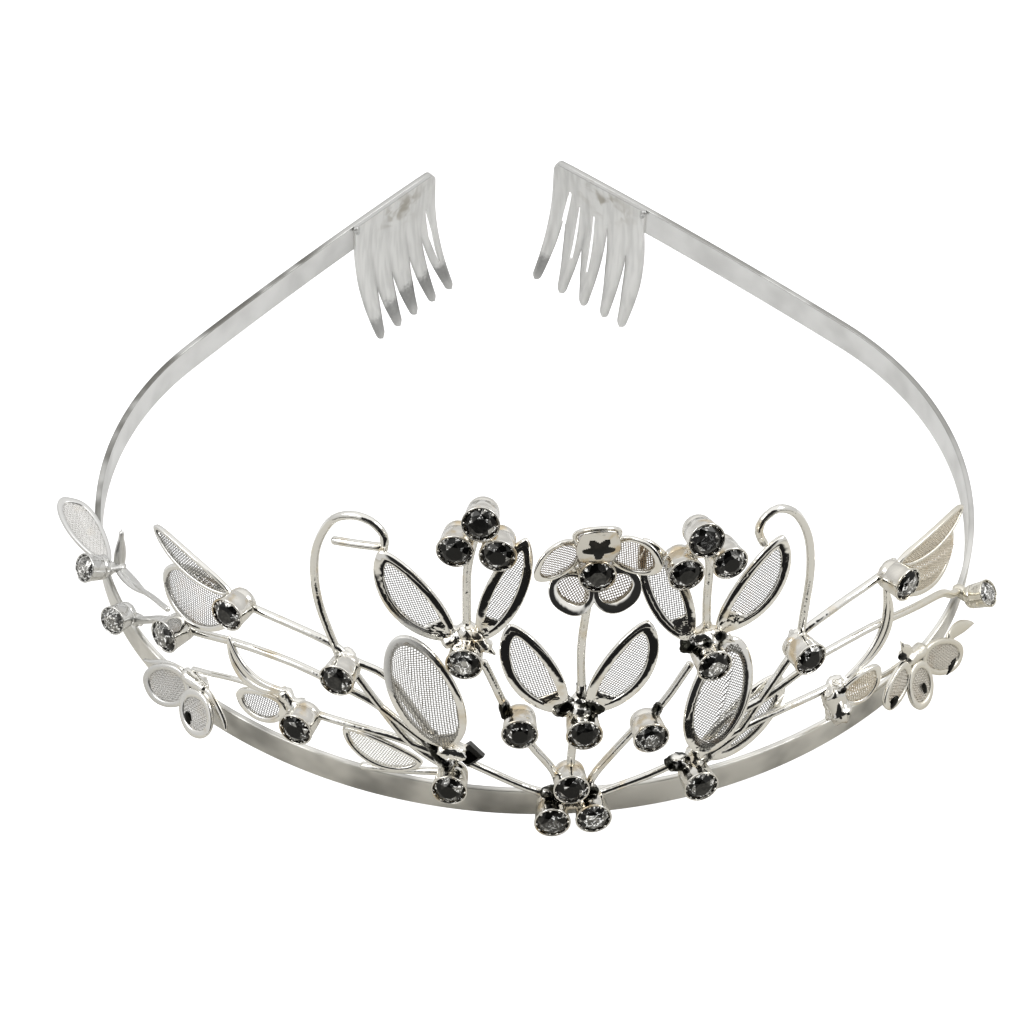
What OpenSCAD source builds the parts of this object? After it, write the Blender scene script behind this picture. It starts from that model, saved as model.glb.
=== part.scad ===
// Rhinestone tiara: plated band with two combs, wire spray, gauze leaves and cut stones.
// Millimetres, Z up. Positions on the spray are wall positions: distance along the
// band from the front centre (right is positive), height up the wall, distance out.

/* [Band] */

// Height of the flat strip
band_h = 5; // [4.5:0.1:5.5]
// Thickness of the strip
band_t = 0.9; // [0.7:0.05:0.9]
// Front arc's outer radius
front_r = 72; // [70:0.5:74]
// Angle that the front arc turns on each side of the centre
front_turn = 41.5; // [41:0.5:42]
// Side arc's outer radius
side_r = 48; // [47:0.5:49]
// Angle that each side arc turns
side_turn = 92.5; // [92:0.5:93]
// Radius of the nearly straight back run
back_r = 780; // [700:10:900]
// Angle that each back run turns
back_turn = 4; // [3.8:0.1:4.2]
// Extra length of the right-hand back run
right_extra = 2.6; // [2:0.1:3]
// Distance from the origin forward to the band's front
front_y = 55.5; // [54:0.5:57]
// Angle that the spray leans inward over the band
lean = 10; // [8:0.5:12]
// Angle at which the tiara sits on its front edge and comb tips
rest_tilt = 9.1; // [9:0.02:9.2]

/* [Wire and solder] */

// Diameter of the main wires
wire_d = 1.15; // [1:0.05:1.3]
// Diameter of the thin wires
thin_d = 0.8; // [0.7:0.05:0.9]
// Gap between pieces that touch in the real object
seat_gap = 0.1; // [0.08:0.01:0.15]

/* [Leaves] */

// Width of a leaf's polished rim
rim_w = 1.05; // [0.9:0.05:1.2]
// Thickness of a leaf's rim
rim_t = 0.7; // [0.6:0.05:0.8]
// Thickness of the gauze sheets
gauze_t = 0.3; // [0.25:0.05:0.35]

/* [Cups and stones] */

// Outer radius of a cup at its face
cup_r = 2.65; // [2.6:0.05:2.75]
// Outer radius of a cup at its back
cup_back_r = 2.1; // [2:0.05:2.2]
// Length of a cup from back to face
cup_l = 4.2; // [4:0.1:4.3]
// Radius of a stone at its girdle
stone_r = 2.2; // [2.1:0.05:2.2]
// Distance of the stone faces out from the wall
face_d = 5.5; // [5.3:0.1:5.6]

/* [Combs] */

// Width of a comb along the band
comb_w = 17.4; // [17.2:0.1:17.6]
// Length of the teeth below the band
tooth_l = 17.4; // [17:0.1:17.8]
// Thickness of the comb sheet
comb_t = 0.9; // [0.8:0.05:1]
// Radius to which the teeth curve inward
comb_curve_r = 36; // [34:0.5:40]

/* [Output] */

/* [Hidden] */

silver = [0.82, 0.81, 0.78];
dark_silver = [0.66, 0.65, 0.62];
stone_grey = [0.28, 0.28, 0.30];
gauze_grey = [0.90, 0.89, 0.86];

wire_r = wire_d / 2;
thin_r = thin_d / 2;
wire_sides = 5;
cup_sides = 10;
bead_sides = 6;
stone_sides = 8;
rim_steps = 12;
ring_gap = 3.6;

// Band outline
arc_rad = [front_r, side_r, back_r];
arc_turn = [front_turn, side_turn, back_turn];
arc_head = [0, front_turn, front_turn + side_turn];
arc_len = [for (i = [0:2]) arc_rad[i] * arc_turn[i] * PI / 180];
arc_from = [0, arc_len[0], arc_len[0] + arc_len[1]];
half_len = arc_len[0] + arc_len[1] + arc_len[2];

function out_dir(h) = [sin(h), -cos(h)];
arc_c0 = [0, front_r - front_y];
arc_c1 = arc_c0 + (front_r - side_r) * out_dir(arc_head[1]);
arc_c2 = arc_c1 + (side_r - back_r) * out_dir(arc_head[2]);
arc_centre = [arc_c0, arc_c1, arc_c2];

function arc_no(s) = s < arc_from[1] ? 0 : s < arc_from[2] ? 1 : 2;
function heading(s) =
    let (i = arc_no(abs(s)))
    arc_head[i] + (abs(s) - arc_from[i]) / arc_rad[i] * 180 / PI;
function mirrored(p, s) = s < 0 ? [-p[0], p[1]] : p;
function outward(s) = mirrored(out_dir(heading(s)), s);
function on_band(s) =
    let (i = arc_no(abs(s)))
    mirrored(arc_centre[i] + arc_rad[i] * out_dir(heading(s)), s);

// Wall positions in space
function wall_out(s) =
    let (n = outward(s)) [n[0] * cos(lean), n[1] * cos(lean), sin(lean)];
function wall_up(s) =
    let (n = outward(s)) [-n[0] * sin(lean), -n[1] * sin(lean), cos(lean)];
function wall_along(s) = let (n = outward(s)) [-n[1], n[0], 0];
function wall(q) =
    let (p = on_band(q[0]))
    [p[0], p[1], 0] + q[1] * wall_up(q[0]) + q[2] * wall_out(q[0]);

function unit(v) = v / norm(v);
function curve(a, b, c, d, t) =
    0.5 * (2 * b + (c - a) * t + (2 * a - 5 * b + 4 * c - d) * t * t
    + (3 * b - a - 3 * c + d) * t * t * t);
function bent_run(q) = [
    for (i = [0:len(q) - 2])
        let (
            a = i == 0 ? 2 * q[0] - q[1] : q[i - 1],
            d = i == len(q) - 2 ? 2 * q[i + 1] - q[i] : q[i + 2],
            n = max(1, round(norm(q[i + 1] - q[i]) / ring_gap))
        )
        for (k = [0:n - 1]) curve(a, q[i], q[i + 1], d, k / n),
    q[len(q) - 1]
];

// Cups: along, height, turn to the right, turn upward, distance of the face out
side_d = 4.8;
base_top = [0, 8.45, 0, 0, 4.4];
base_left = [-2.4, 3.6, 0, 0, face_d];
base_right = [2.8, 4, 0, 0, face_d];
centre_cup = [1.3, 19, 0, 0, face_d];
left_stem_cup = [-7, 19.3, 0, 0, face_d];
right_stem_cup = [10, 17.3, 0, 0, face_d];
left_junction = [-14.6, 30.6, 0, 0, face_d];
right_junction = [18.4, 27.7, 0, 0, face_d];
left_top_a = [-13.4, 53.8, 0, 10, face_d];
left_top_b = [-16.6, 49, 0, 0, face_d];
left_top_c = [-10.9, 49, 0, 0, face_d];
right_top_a = [17.1, 49.1, 0, 12, face_d];
right_top_b = [14.3, 44.2, 0, 0, face_d];
right_top_c = [20.5, 44.4, 0, 0, face_d];
flower_cup = [2.3, 45.8, 0, 0, face_d];
left_crook_cup = [-31.3, 23.3, 0, 0, face_d];
right_crook_cup = [32.5, 23.1, 0, 0, face_d];
left_big_cup = [-15.6, 8.4, 0, 0, face_d];
right_big_cup = [16.8, 6.8, 0, 0, face_d];
left_low_cup = [-36.4, 12.3, 0, 0, face_d];
right_low_cup = [38.3, 8.6, 0, -60, 3.6];
left_fold_cup = [-47.9, 26.6, 0, 0, face_d];
right_fold_cup = [49.5, 26.2, 0, 0, face_d];
left_outer_cup = [-57.8, 15.9, 0, 0, face_d];
left_tail_cup = [-78.9, 8.8, 11.5, 19.3, side_d];
left_side_at = [-69.1, 8.5, 20, 12.6, side_d];
right_side_at = [69, 7.6, 0, 30, 5.7];

cup_floor = cup_l - 1.9;
cavity_r = stone_r + 0.2;
stone_down = 0.35;
table_r = 1.25;
crown_h = 0.75;
girdle_h = 0.2;
pavilion_h = 1.15;

function cup_axis(c) =
    unit(wall_out(c[0]) + tan(c[2]) * wall_along(c[0]) + tan(c[3]) * wall_up(c[0]));

module at_cup(c) {
    z = cup_axis(c);
    x = unit(cross(wall_up(c[0]), z));
    y = cross(z, x);
    p = wall([c[0], c[1], c[4]]);
    multmatrix([
        [x[0], y[0], z[0], p[0]],
        [x[1], y[1], z[1], p[1]],
        [x[2], y[2], z[2], p[2]],
        [0, 0, 0, 1]
    ])
        children();
}

module cup_disc(z, r) {
    translate([0, 0, z]) cylinder(h = 0.1, r = r, $fn = cup_sides);
}

module cup(c) {
    at_cup(c) difference() {
        hull() {
            cup_disc(-cup_l, cup_back_r);
            cup_disc(-0.1, cup_r);
        }
        translate([0, 0, cup_floor - cup_l]) cylinder(h = cup_l, r = cavity_r, $fn = cup_sides);
    }
}

function stone_ring(z, r, turn) = [
    for (k = [0:stone_sides - 1])
        let (a = 360 * (k + turn) / stone_sides) [r * cos(a), r * sin(a), z]
];

module stone(c) {
    n = stone_sides;
    girdle = -stone_down;
    points = concat(
        [[0, 0, girdle - girdle_h - pavilion_h]],
        stone_ring(girdle - girdle_h, stone_r, 0),
        stone_ring(girdle, stone_r, 0),
        stone_ring(girdle + crown_h, table_r, 0.5)
    );
    faces = concat(
        [for (k = [0:n - 1]) [0, 1 + k, 1 + (k + 1) % n]],
        [for (k = [0:n - 1]) [1 + k, 1 + n + k, 1 + n + (k + 1) % n, 1 + (k + 1) % n]],
        [for (k = [0:n - 1]) [1 + n + k, 1 + 2 * n + k, 1 + n + (k + 1) % n]],
        [for (k = [0:n - 1]) [1 + 2 * n + k, 1 + 2 * n + (k + 1) % n, 1 + n + (k + 1) % n]],
        [[for (k = [0:n - 1]) 1 + 2 * n + (n - 1 - k)]]
    );
    at_cup(c) polyhedron(points, faces, convexity = 2);
}

// Wires and solder
module wire(q, r = wire_r) {
    run = bent_run(q);
    n = len(run);
    m = wire_sides;
    path = [for (w = run) wall(w)];
    points = [
        for (i = [0:n - 1])
            let (
                t = unit(path[min(i + 1, n - 1)] - path[max(i - 1, 0)]),
                a = unit(cross(t, wall_out(run[i][0]))),
                b = cross(t, a)
            )
            for (k = [0:m - 1]) path[i] + r * (cos(360 * k / m) * a + sin(360 * k / m) * b)
    ];
    faces = concat(
        [[for (k = [0:m - 1]) k]],
        [for (i = [0:n - 2]) for (k = [0:m - 1])
            [i * m + k, (i + 1) * m + k, (i + 1) * m + (k + 1) % m]],
        [for (i = [0:n - 2]) for (k = [0:m - 1])
            [i * m + k, (i + 1) * m + (k + 1) % m, i * m + (k + 1) % m]],
        [[for (k = [0:m - 1]) (n - 1) * m + m - 1 - k]]
    );
    polyhedron(points, faces, convexity = 6);
}

module bead(a, b, r) {
    hull() {
        translate(wall(a)) sphere(r = r, $fn = bead_sides);
        translate(wall(b)) sphere(r = r * 0.9, $fn = bead_sides);
    }
}

// Leaves: base and tip on the wall, widths to the left and right, how pointed they are,
// sideways bend, bow outward, roll about their own length, and how far their widest
// place lies towards the tip
BASE = 0;
TIP = 1;
LEFT = 2;
RIGHT = 3;
POINT = 4;
BEND = 5;
BOW = 6;
ROLL = 7;
WIDEST = 8;

function leaf_at(f, t, w, lift) =
    let (
        run = [f[TIP][0] - f[BASE][0], f[TIP][1] - f[BASE][1]],
        a = unit(run),
        p = [a[1], -a[0]],
        side = w * cos(f[ROLL]) - lift * sin(f[ROLL]) + f[BEND] * 4 * t * (1 - t),
        out = w * sin(f[ROLL]) + lift * cos(f[ROLL]) + f[BOW] * 4 * t * (1 - t)
    )
    [
        f[BASE][0] + run[0] * t + p[0] * side,
        f[BASE][1] + run[1] * t + p[1] * side,
        f[BASE][2] + (f[TIP][2] - f[BASE][2]) * t + out
    ];
function leaf_len(f) = norm(f[TIP] - f[BASE]);
function leaf_loop(f, inset, lift) = [
    for (i = [0:rim_steps - 1])
        let (
            a = 360 * i / rim_steps,
            ends = inset * 1.4 / leaf_len(f),
            t = ends + (1 - 2 * ends) * pow((1 - cos(a)) / 2, f[WIDEST]),
            half = (sin(a) > 0 ? f[RIGHT] : -f[LEFT]),
            shrink = max(0, 1 - inset / abs(half)),
            w = half * shrink * pow(abs(sin(a)), f[POINT])
        )
        wall(leaf_at(f, t, w, lift))
];

module rim(f) {
    n = rim_steps;
    points = concat(
        leaf_loop(f, 0, rim_t / 2),
        leaf_loop(f, rim_w, rim_t / 2),
        leaf_loop(f, rim_w, -rim_t / 2),
        leaf_loop(f, 0, -rim_t / 2)
    );
    faces = [
        for (j = [0:3]) for (i = [0:n - 1]) for (h = [0, 1])
            let (a = j * n + i, b = j * n + (i + 1) % n, c = ((j + 1) % 4) * n + i,
                d = ((j + 1) % 4) * n + (i + 1) % n)
            h == 0 ? [a, d, b] : [a, c, d]
    ];
    polyhedron(points, faces, convexity = 4);
}

module gauze(f) {
    n = rim_steps;
    h = n / 2;
    points = concat(
        leaf_loop(f, rim_w + seat_gap, gauze_t / 2),
        leaf_loop(f, rim_w + seat_gap, -gauze_t / 2)
    );
    faces = concat(
        [[0, n - 1, 1]],
        [for (i = [1:h - 2]) [i, n - i, i + 1]],
        [for (i = [1:h - 2]) [i + 1, n - i, n - i - 1]],
        [[h - 1, h + 1, h]],
        [[n, n + 1, 2 * n - 1]],
        [for (i = [1:h - 2]) [n + i, n + i + 1, 2 * n - i]],
        [for (i = [1:h - 2]) [n + i + 1, 2 * n - i - 1, 2 * n - i]],
        [[n + h - 1, n + h, n + h + 1]],
        [for (i = [0:n - 1]) [i, n + (i + 1) % n, n + i]],
        [for (i = [0:n - 1]) [i, (i + 1) % n, n + (i + 1) % n]]
    );
    polyhedron(points, faces, convexity = 2);
}

// Petals round a centre: length, width, distances out at the root and the tip
function petal(c, angle, from, to, half, d0, d1) = [
    [c[0] + from * cos(angle), c[1] + from * sin(angle), d0],
    [c[0] + to * cos(angle), c[1] + to * sin(angle), d1],
    half, half, 0.85, 0, -0.4, 0, 0.8
];

centre_left_leaf = [[-1.2, 20.4, 2], [-9, 36, 3], 4.1, 2.9, 1.3, 0, 0.6, 0, 1];
centre_right_leaf = [[2.2, 20.2, 2], [9.9, 35.6, 3], 2.9, 4.5, 1.3, 0, 0.6, 0, 1];
left_inner_leaf = [[-12.9, 32.3, 2], [-7.2, 50.2, 3], 2.6, 3, 1.3, 0, 0.6, 0, 1];
left_outer_leaf = [[-16.6, 31.8, 2], [-27.6, 44.4, 2.5], 4.4, 3, 1.3, 0, 0.6, 0, 1];
right_inner_leaf = [[16.2, 30.1, 2], [9.8, 46.8, 0], 3.2, 3, 1.3, 0, 0.2, 0, 1];
right_outer_leaf = [[20.3, 30.3, 2], [29.8, 44, 3], 3, 4.7, 1.3, 0, 0.6, 0, 1];
left_big_leaf = [[-16.4, 13.6, 2.5], [-23.2, 33, 4.5], 4.6, 5, 1, 0, 0.8, 0, 1];
right_big_leaf = [[17.6, 10.7, 3.1], [23.7, 26.9, 0.1], 5, 4.6, 1, 0, 0.6, 0, 1];
right_behind_leaf = [[18.8, 7.4, 0.6], [31.3, 16.8, 0], 3.4, 4.6, 1, 0, 0, 0, 1];
left_low_leaf = [[-19.8, 9, 1.5], [-31.2, 12, 1.5], 3.4, 1.6, 1.2, 0, 0.4, 0, 1];
left_loop_leaf = [[-39.5, 12, 1.5], [-47.6, 9.6, 1.5], 3.2, 2.2, 1, 0, 0.3, 0, 1];
left_hang_leaf = [[-39.6, 15, 2], [-49.6, 19.6, 2], 1.3, 1.3, 1, -3.2, 0, 0, 1];
left_lobe = [[-49, 25.8, 1.8], [-62.6, 20.6, 1.8], 5.4, 4.4, 0.9, 0, 0.5, 0, 1];
left_flap = [[-49.4, 27.4, 2.4], [-64, 30.6, 3.6], 2.2, 1.8, 1.2, 0, 0.3, 0, 1];
right_lobe = [[50.4, 25.6, 1.8], [66, 19.6, 1.8], 4.4, 5, 0.9, 0, 0.5, 0, 1];
right_flap = [[50.7, 27.4, 2.4], [66, 27, 3.6], 1.8, 2.2, 1.2, 0, 0.3, 0, 1];
right_strip_leaf = [[40.8, 12.6, 2], [48.6, 24.4, 2], 1.2, 1.2, 1, 4, 0, 0, 1];
right_fan_leaf = [[39.6, 9.6, 1.6], [46.8, 11, 2.4], 2.2, 3.6, 0.9, 0, 0.3, 0, 1];
tail_broad_leaf = [[-81.4, 6, 0.4], [-93.6, 6.4, 4.4], 3, 3, 0.7, 0, 0, 80, 0.6];

flower_at = [flower_cup[0], flower_cup[1]];
flower_petals = concat(
    [for (a = [18, 90, 162]) petal(flower_at, a, 1.8, 8.6, 3.4, 2, 6.3)],
    [for (a = [234, 306]) petal(flower_at, a, 1.8, 7.6, 3.15, 2, 5.4)]
);
left_flower_petals = [
    [[-55, 8, 2.4], [-61.2, 2.4, 4], 3.2, 3.2, 0.85, 0, 0, 0, 1],
    [[-54, 7.4, 2.6], [-51, 1.4, 4.5], 3, 3, 0.9, 0, 0, 0, 1]
];
right_flower_petals = [
    [[55.6, 7, 2.4], [62.8, 0.4, 4], 2.7, 2.7, 0.85, 0, 0, 0, 1],
    [[54.2, 6.6, 2.4], [53, -0.2, 4.5], 2.6, 2.5, 0.9, 0, 0, 0, 1],
    [[52.6, 7.6, 2.4], [46.2, 4.6, 3.8], 2.8, 2.6, 0.9, 0, 0, 0, 1]
];

// Wire runs on the wall: along, height, distance out
flower_stem = [[1.4, 20.5, 1.5], [1, 30.5, 1.5], [1.6, 37.7, 1.5], [2.3, 45, 1.5]];
centre_stem = [[0.1, 6.8, 1.5], [0.2, 13.6, 1.5], [1.1, 19.4, 1.5]];
left_stem = [[-1.2, 5.5, 1.5], [-2.3, 9.6, 1.5], [-5.4, 14.2, 1.5], [-8.7, 19.9, 1.5],
    [-11, 25.1, 1.5], [-12.3, 28, 1.5]];
right_stem = [[2.4, 5.5, 1.5], [3.6, 9, 1.5], [8.7, 15.8, 1.5], [12.5, 19.6, 1.5],
    [15.6, 24.2, 1.5], [16.4, 25.4, 1.5]];
left_low_wire = [[-1, 5, 1.5], [-5, 6.1, 1.5], [-11.2, 9.2, 1.5], [-12.6, 9.6, 1.5]];
right_low_wire = [[2, 4, 1.5], [5.6, 5.5, 1.5], [11, 7.2, 1.5], [12.4, 7.6, 1.5]];
left_top_stem = [[-14.7, 31, 1.5], [-15.1, 38.2, 1.5], [-15.2, 43.8, 1.5], [-14.2, 50, 1.5]];
right_top_stem = [[18.8, 28.5, 1.5], [18.8, 35.8, 1.5], [19.1, 42.1, 1.5], [17.8, 46, 1.5]];
left_crook = [[-31.6, 22.3, 1.5], [-33.6, 26.1, 1.5], [-36.6, 33, 1.5], [-37.4, 40, 1.5],
    [-35.6, 45.7, 1.5], [-32.6, 47.9, 1.5], [-29.5, 47.9, 1.5], [-27.4, 46.2, 1.5],
    [-27.3, 44, 1.5]];
left_crook_end = [[-27.8, 44.2, 1.5], [-34.7, 43, 1.5]];
right_crook = [[33.2, 22.3, 1.5], [34.1, 27.4, 1.5], [35.3, 34.5, 1.5], [35, 40.5, 1.5],
    [33, 45.2, 1.5], [30, 47.3, 1.5], [27.5, 46.4, 1.5], [26.8, 44.6, 1.5], [27.6, 42.5, 1.5]];
left_upper_wire = [[-48.6, 26, 1.5], [-40.3, 26.3, 1.5], [-33.8, 25.7, 1.5], [-31, 24, 1.5]];
left_side_wire = [[-68.8, 7.4, 0.9], [-62.4, 13, 1], [-56.8, 15.6, 1.5], [-48.9, 18.5, 1.5],
    [-41.4, 19.8, 1.5], [-35.2, 19.6, 1.5], [-27.8, 18, 1.5], [-23.3, 15.4, 1.5],
    [-16.5, 10.4, 1.5]];
left_cross_wire = [[-31, 23, 1.5], [-26.2, 17.4, 1.5], [-21.7, 12.3, 1.5], [-16, 8.6, 1.5]];
left_inner_wire = [[-30, 24, 1.5], [-25.7, 22.9, 1.5], [-22.1, 18.8, 1.5], [-16.5, 11, 1.5]];
left_third_wire = [[-37.5, 12.5, 1.5], [-28.8, 12.8, 1.5], [-22.7, 12.4, 1.5], [-16, 10.6, 1.5]];
left_leaf_wire = [[-28.1, 5.8, 1.2], [-23.7, 6.6, 1.2], [-16, 8.3, 1.5]];
right_upper_wire = [[32.2, 23.6, 1.5], [34.8, 24.8, 1.5], [41.4, 26.1, 1.5], [50, 26.4, 1.5]];
right_side_wire = [[17.4, 9, 1.5], [21.2, 13.7, 1.5], [27.7, 15.6, 1.5], [33.1, 17.5, 1.5],
    [37.5, 18.8, 1.5], [48, 17.9, 1.5], [61, 13.2, 1.5], [66.3, 8.6, 1.2], [69.3, 6.4, 1]];
right_lower_wire = [[17.4, 8.6, 1.5], [22.8, 11.1, 1.5], [30.1, 12.2, 1.5], [39.4, 12.1, 1.5]];
right_cross_wire = [[32.8, 22, 1.5], [30.8, 20, 1.5], [27, 15.4, 1.5], [23.1, 10.6, 1.5],
    [17.2, 7.8, 1.5]];
tail_thin_wire = [[-79.6, 6.6, -0.8], [-74.5, 8.4, -1.2], [-68.5, 11.6, -0.8], [-62.8, 14.4, 0.4]];
left_thin_wire = [[-53.6, 9.8, 1.2], [-47, 12.2, 1.2], [-39.6, 13, 1.5]];
right_thin_wire = [[55, 6.6, 1.2], [48, 7.6, 1.2], [42, 10.4, 1.2]];
tail_spike = [[-80, 6.6, -0.8], [-80.6, 9, -0.9], [-81.4, 12.4, -0.9]];

// Comb outlines, from the comb's middle: tooth tips, gap roots and slots
left_tips = [-7.4, -3.4, 0.3, 4.6, 8.6];
left_gaps = [[-5.1, -9.7], [-1.5, -8.7], [2.5, -8.3], [5.7, -6.4]];
left_slots = [[7.1, -1.2, 7.8, -12.4, 0.25]];
right_tips = [-9, -5.4, -1.2, 3.4, 8.7];
right_gaps = [[-6, -6.7], [-2.6, -3.5], [2.1, -9], [6.3, -4]];
right_slots = [[0.9, -1.6, 0.1, -12.2, 0.35], [3.8, -1.6, 3.6, -11.4, 0.3],
    [5.8, 2.6, 6.3, -6, 0.42]];
left_comb_at = half_len - 9.5;
right_comb_at = half_len + right_extra - 9.6;
plate_half = comb_w / 2;
plate_top = band_h - 0.3;
comb_gap = band_t + 2 * seat_gap;

// Each arc laps into the one before it by a hair, so that the strip is one piece
lap = [0, 0.5, 0.5];
inset = [0, 0.01, 0.02];

module arc_strip(i, extra) {
    back = lap[i] / arc_rad[i] * 180 / PI;
    more = extra / arc_rad[i] * 180 / PI;
    translate(arc_centre[i]) rotate(arc_head[i] - 90 - back)
        rotate_extrude(angle = arc_turn[i] + back + more, $fn = 128)
            translate([arc_rad[i] - band_t + inset[i], inset[i]])
                square([band_t - 2 * inset[i], band_h - 2 * inset[i]]);
}

module half_band(extra) {
    for (i = [0:2]) arc_strip(i, i == 2 ? extra : 0);
}

module tooth(tip, from, to) {
    x0 = from[0] - 0.01;
    x1 = to[0] + 0.01;
    end = -tooth_l;
    polygon([
        [x0, 1], [x0, from[1]],
        [x0 + (tip - 0.7 - x0) * 0.4, (from[1] + end) / 2],
        [tip - 0.7, end + 0.5], [tip - 0.35, end], [tip + 0.35, end], [tip + 0.7, end + 0.5],
        [x1 + (tip + 0.7 - x1) * 0.4, (to[1] + end) / 2],
        [x1, to[1]], [x1, 1]
    ]);
}

module comb_outline(tips, gaps, slots) {
    n = len(tips);
    difference() {
        union() {
            translate([-plate_half, 0]) square([2 * plate_half, plate_top]);
            for (i = [0:n - 1])
                tooth(tips[i],
                    i == 0 ? [-plate_half, -7] : gaps[i - 1],
                    i == n - 1 ? [plate_half, -4] : gaps[i]);
        }
        for (w = slots)
            polygon([[w[0] - w[4], w[1]], [w[0] + w[4], w[1]],
                [w[2] + w[4] * 0.7, w[3]], [w[2] - w[4] * 0.7, w[3]]]);
    }
}

// Comb in its own frame: x towards the band's end, y inward, z up
comb_steps = 10;
comb_turn = asin((tooth_l + 0.5) / comb_curve_r);

// Sheet seen from its end: points [y, z] down the curved teeth at a radius, from the plate
function comb_line(r) = [
    for (i = [0:comb_steps])
        let (a = comb_turn * i / comb_steps) [comb_curve_r - r * cos(a), -r * sin(a)]
];
function reversed(q) = [for (i = [len(q) - 1:-1:0]) q[i]];

module comb_sheet() {
    polygon(concat(
        [[comb_t, band_h], [0, band_h]],
        comb_line(comb_curve_r),
        reversed(comb_line(comb_curve_r - comb_t))
    ));
}

module comb(at, tips, gaps, slots) {
    c = on_band(at);
    reach = comb_w;
    translate([c[0], c[1], 0]) rotate(heading(at)) translate([0, comb_gap, 0])
        intersection() {
            translate([0, reach, 0]) rotate([90, 0, 0]) linear_extrude(height = 2 * reach)
                comb_outline(tips, gaps, slots);
            rotate([90, 0, 90]) linear_extrude(height = 2 * comb_w, center = true) comb_sheet();
        }
}

// The whole tiara is drawn level, then tipped on to its front edge and comb tips and
// centred over the origin
rest_lift = front_y * sin(rest_tilt);
centre_shift = [2.64, -4.93];
module place() {
    translate([centre_shift[0], centre_shift[1], rest_lift]) rotate([rest_tilt, 0, 0]) children();
}

module band() {
    color(silver) place() union() {
        half_band(right_extra);
        mirror([1, 0, 0]) half_band(0);
    }
}

module left_comb() {
    color(silver) place() mirror([1, 0, 0]) comb(left_comb_at, left_tips, left_gaps, left_slots);
}

module right_comb() {
    color(silver) place() comb(right_comb_at, right_tips, right_gaps, right_slots);
}

module centre_wirework() {
    color(dark_silver) place() union() {
        for (c = [base_top, base_left, base_right, centre_cup, left_stem_cup,
            right_stem_cup, flower_cup]) cup(c);
        bead([-1.6, 4.4, 2.3], [2, 4.6, 2.3], 1.3);
        bead([-0.1, 8, 1.5], [0.4, 4.8, 2.4], 1.3);
        bead([0.9, 21.6, 1.6], [1.2, 19, 1.8], 1.4);
        bead([-1, 20.8, 1.9], [2.2, 20.6, 1.9], 0.9);
        bead([-7, 17.6, 1.5], [-7, 19.3, 1.9], 1.1);
        bead([10, 17.2, 1.5], [10, 17.3, 1.9], 1.1);
        bead([2.3, 44.6, 1.4], [2.3, 46.6, 1.6], 1.5);
        for (w = [flower_stem, centre_stem, left_stem, right_stem, left_low_wire,
            right_low_wire]) wire(w);
        rim(centre_left_leaf);
        rim(centre_right_leaf);
        for (f = flower_petals) rim(f);
    }
}

module left_twig() {
    color(dark_silver) place() union() {
        for (c = [left_junction, left_top_a, left_top_b, left_top_c]) cup(c);
        bead([-14.8, 33, 1.6], [-14.4, 30.4, 1.7], 1.6);
        bead([-13.4, 33, 1.8], [-16.4, 32.4, 1.8], 1.2);
        bead([-13.6, 50.2, 1.6], [-13.3, 53, 1.6], 1.3);
        bead([-14.4, 49.6, 1.6], [-16.2, 49.2, 1.8], 1.3);
        bead([-13.4, 49.6, 1.6], [-11.2, 49.2, 1.8], 1.3);
        wire(left_top_stem);
        rim(left_inner_leaf);
        rim(left_outer_leaf);
    }
}

module right_twig() {
    color(dark_silver) place() union() {
        for (c = [right_junction, right_top_a, right_top_b, right_top_c]) cup(c);
        bead([18.6, 30, 1.6], [18.4, 27.6, 1.7], 1.6);
        bead([17, 30.4, 1.8], [20, 30.2, 1.8], 1.2);
        bead([17.4, 46, 1.6], [17.1, 48.6, 1.6], 1.3);
        bead([16.8, 45.2, 1.8], [15.4, 44.4, 2], 1.2);
        bead([17.8, 45.2, 1.6], [20.1, 44.6, 1.8], 1.3);
        wire(right_top_stem);
        rim(right_inner_leaf);
        rim(right_outer_leaf);
    }
}

module left_branch() {
    color(silver) place() union() {
        for (c = [left_crook_cup, left_big_cup, left_low_cup, left_fold_cup,
            left_outer_cup]) cup(c);
        cup(left_side_at);
        bead([-69.6, 6.4, 0.3], [-68.8, 7.6, 0.9], 1);
        bead([-16.6, 10.6, 1.5], [-15.8, 8.4, 1.7], 1.6);
        bead([-16.6, 12.8, 2.2], [-13.6, 12, 1.6], 1.7);
        bead([-31.4, 24.4, 1.5], [-31.2, 22.8, 1.7], 1.3);
        bead([-38, 13, 1.5], [-36.6, 12.4, 1.7], 1.2);
        bead([-40, 14, 1.6], [-38.6, 12.6, 1.6], 1.1);
        bead([-49, 26.2, 1.7], [-47.8, 26.4, 1.7], 1.3);
        for (w = [left_crook, left_crook_end, left_upper_wire, left_side_wire,
            left_cross_wire, left_inner_wire, left_third_wire, left_leaf_wire]) wire(w);
        wire(left_thin_wire, thin_r);
        for (f = [left_big_leaf, left_low_leaf, left_loop_leaf, left_hang_leaf,
            left_lobe, left_flap]) rim(f);
    }
}

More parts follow.
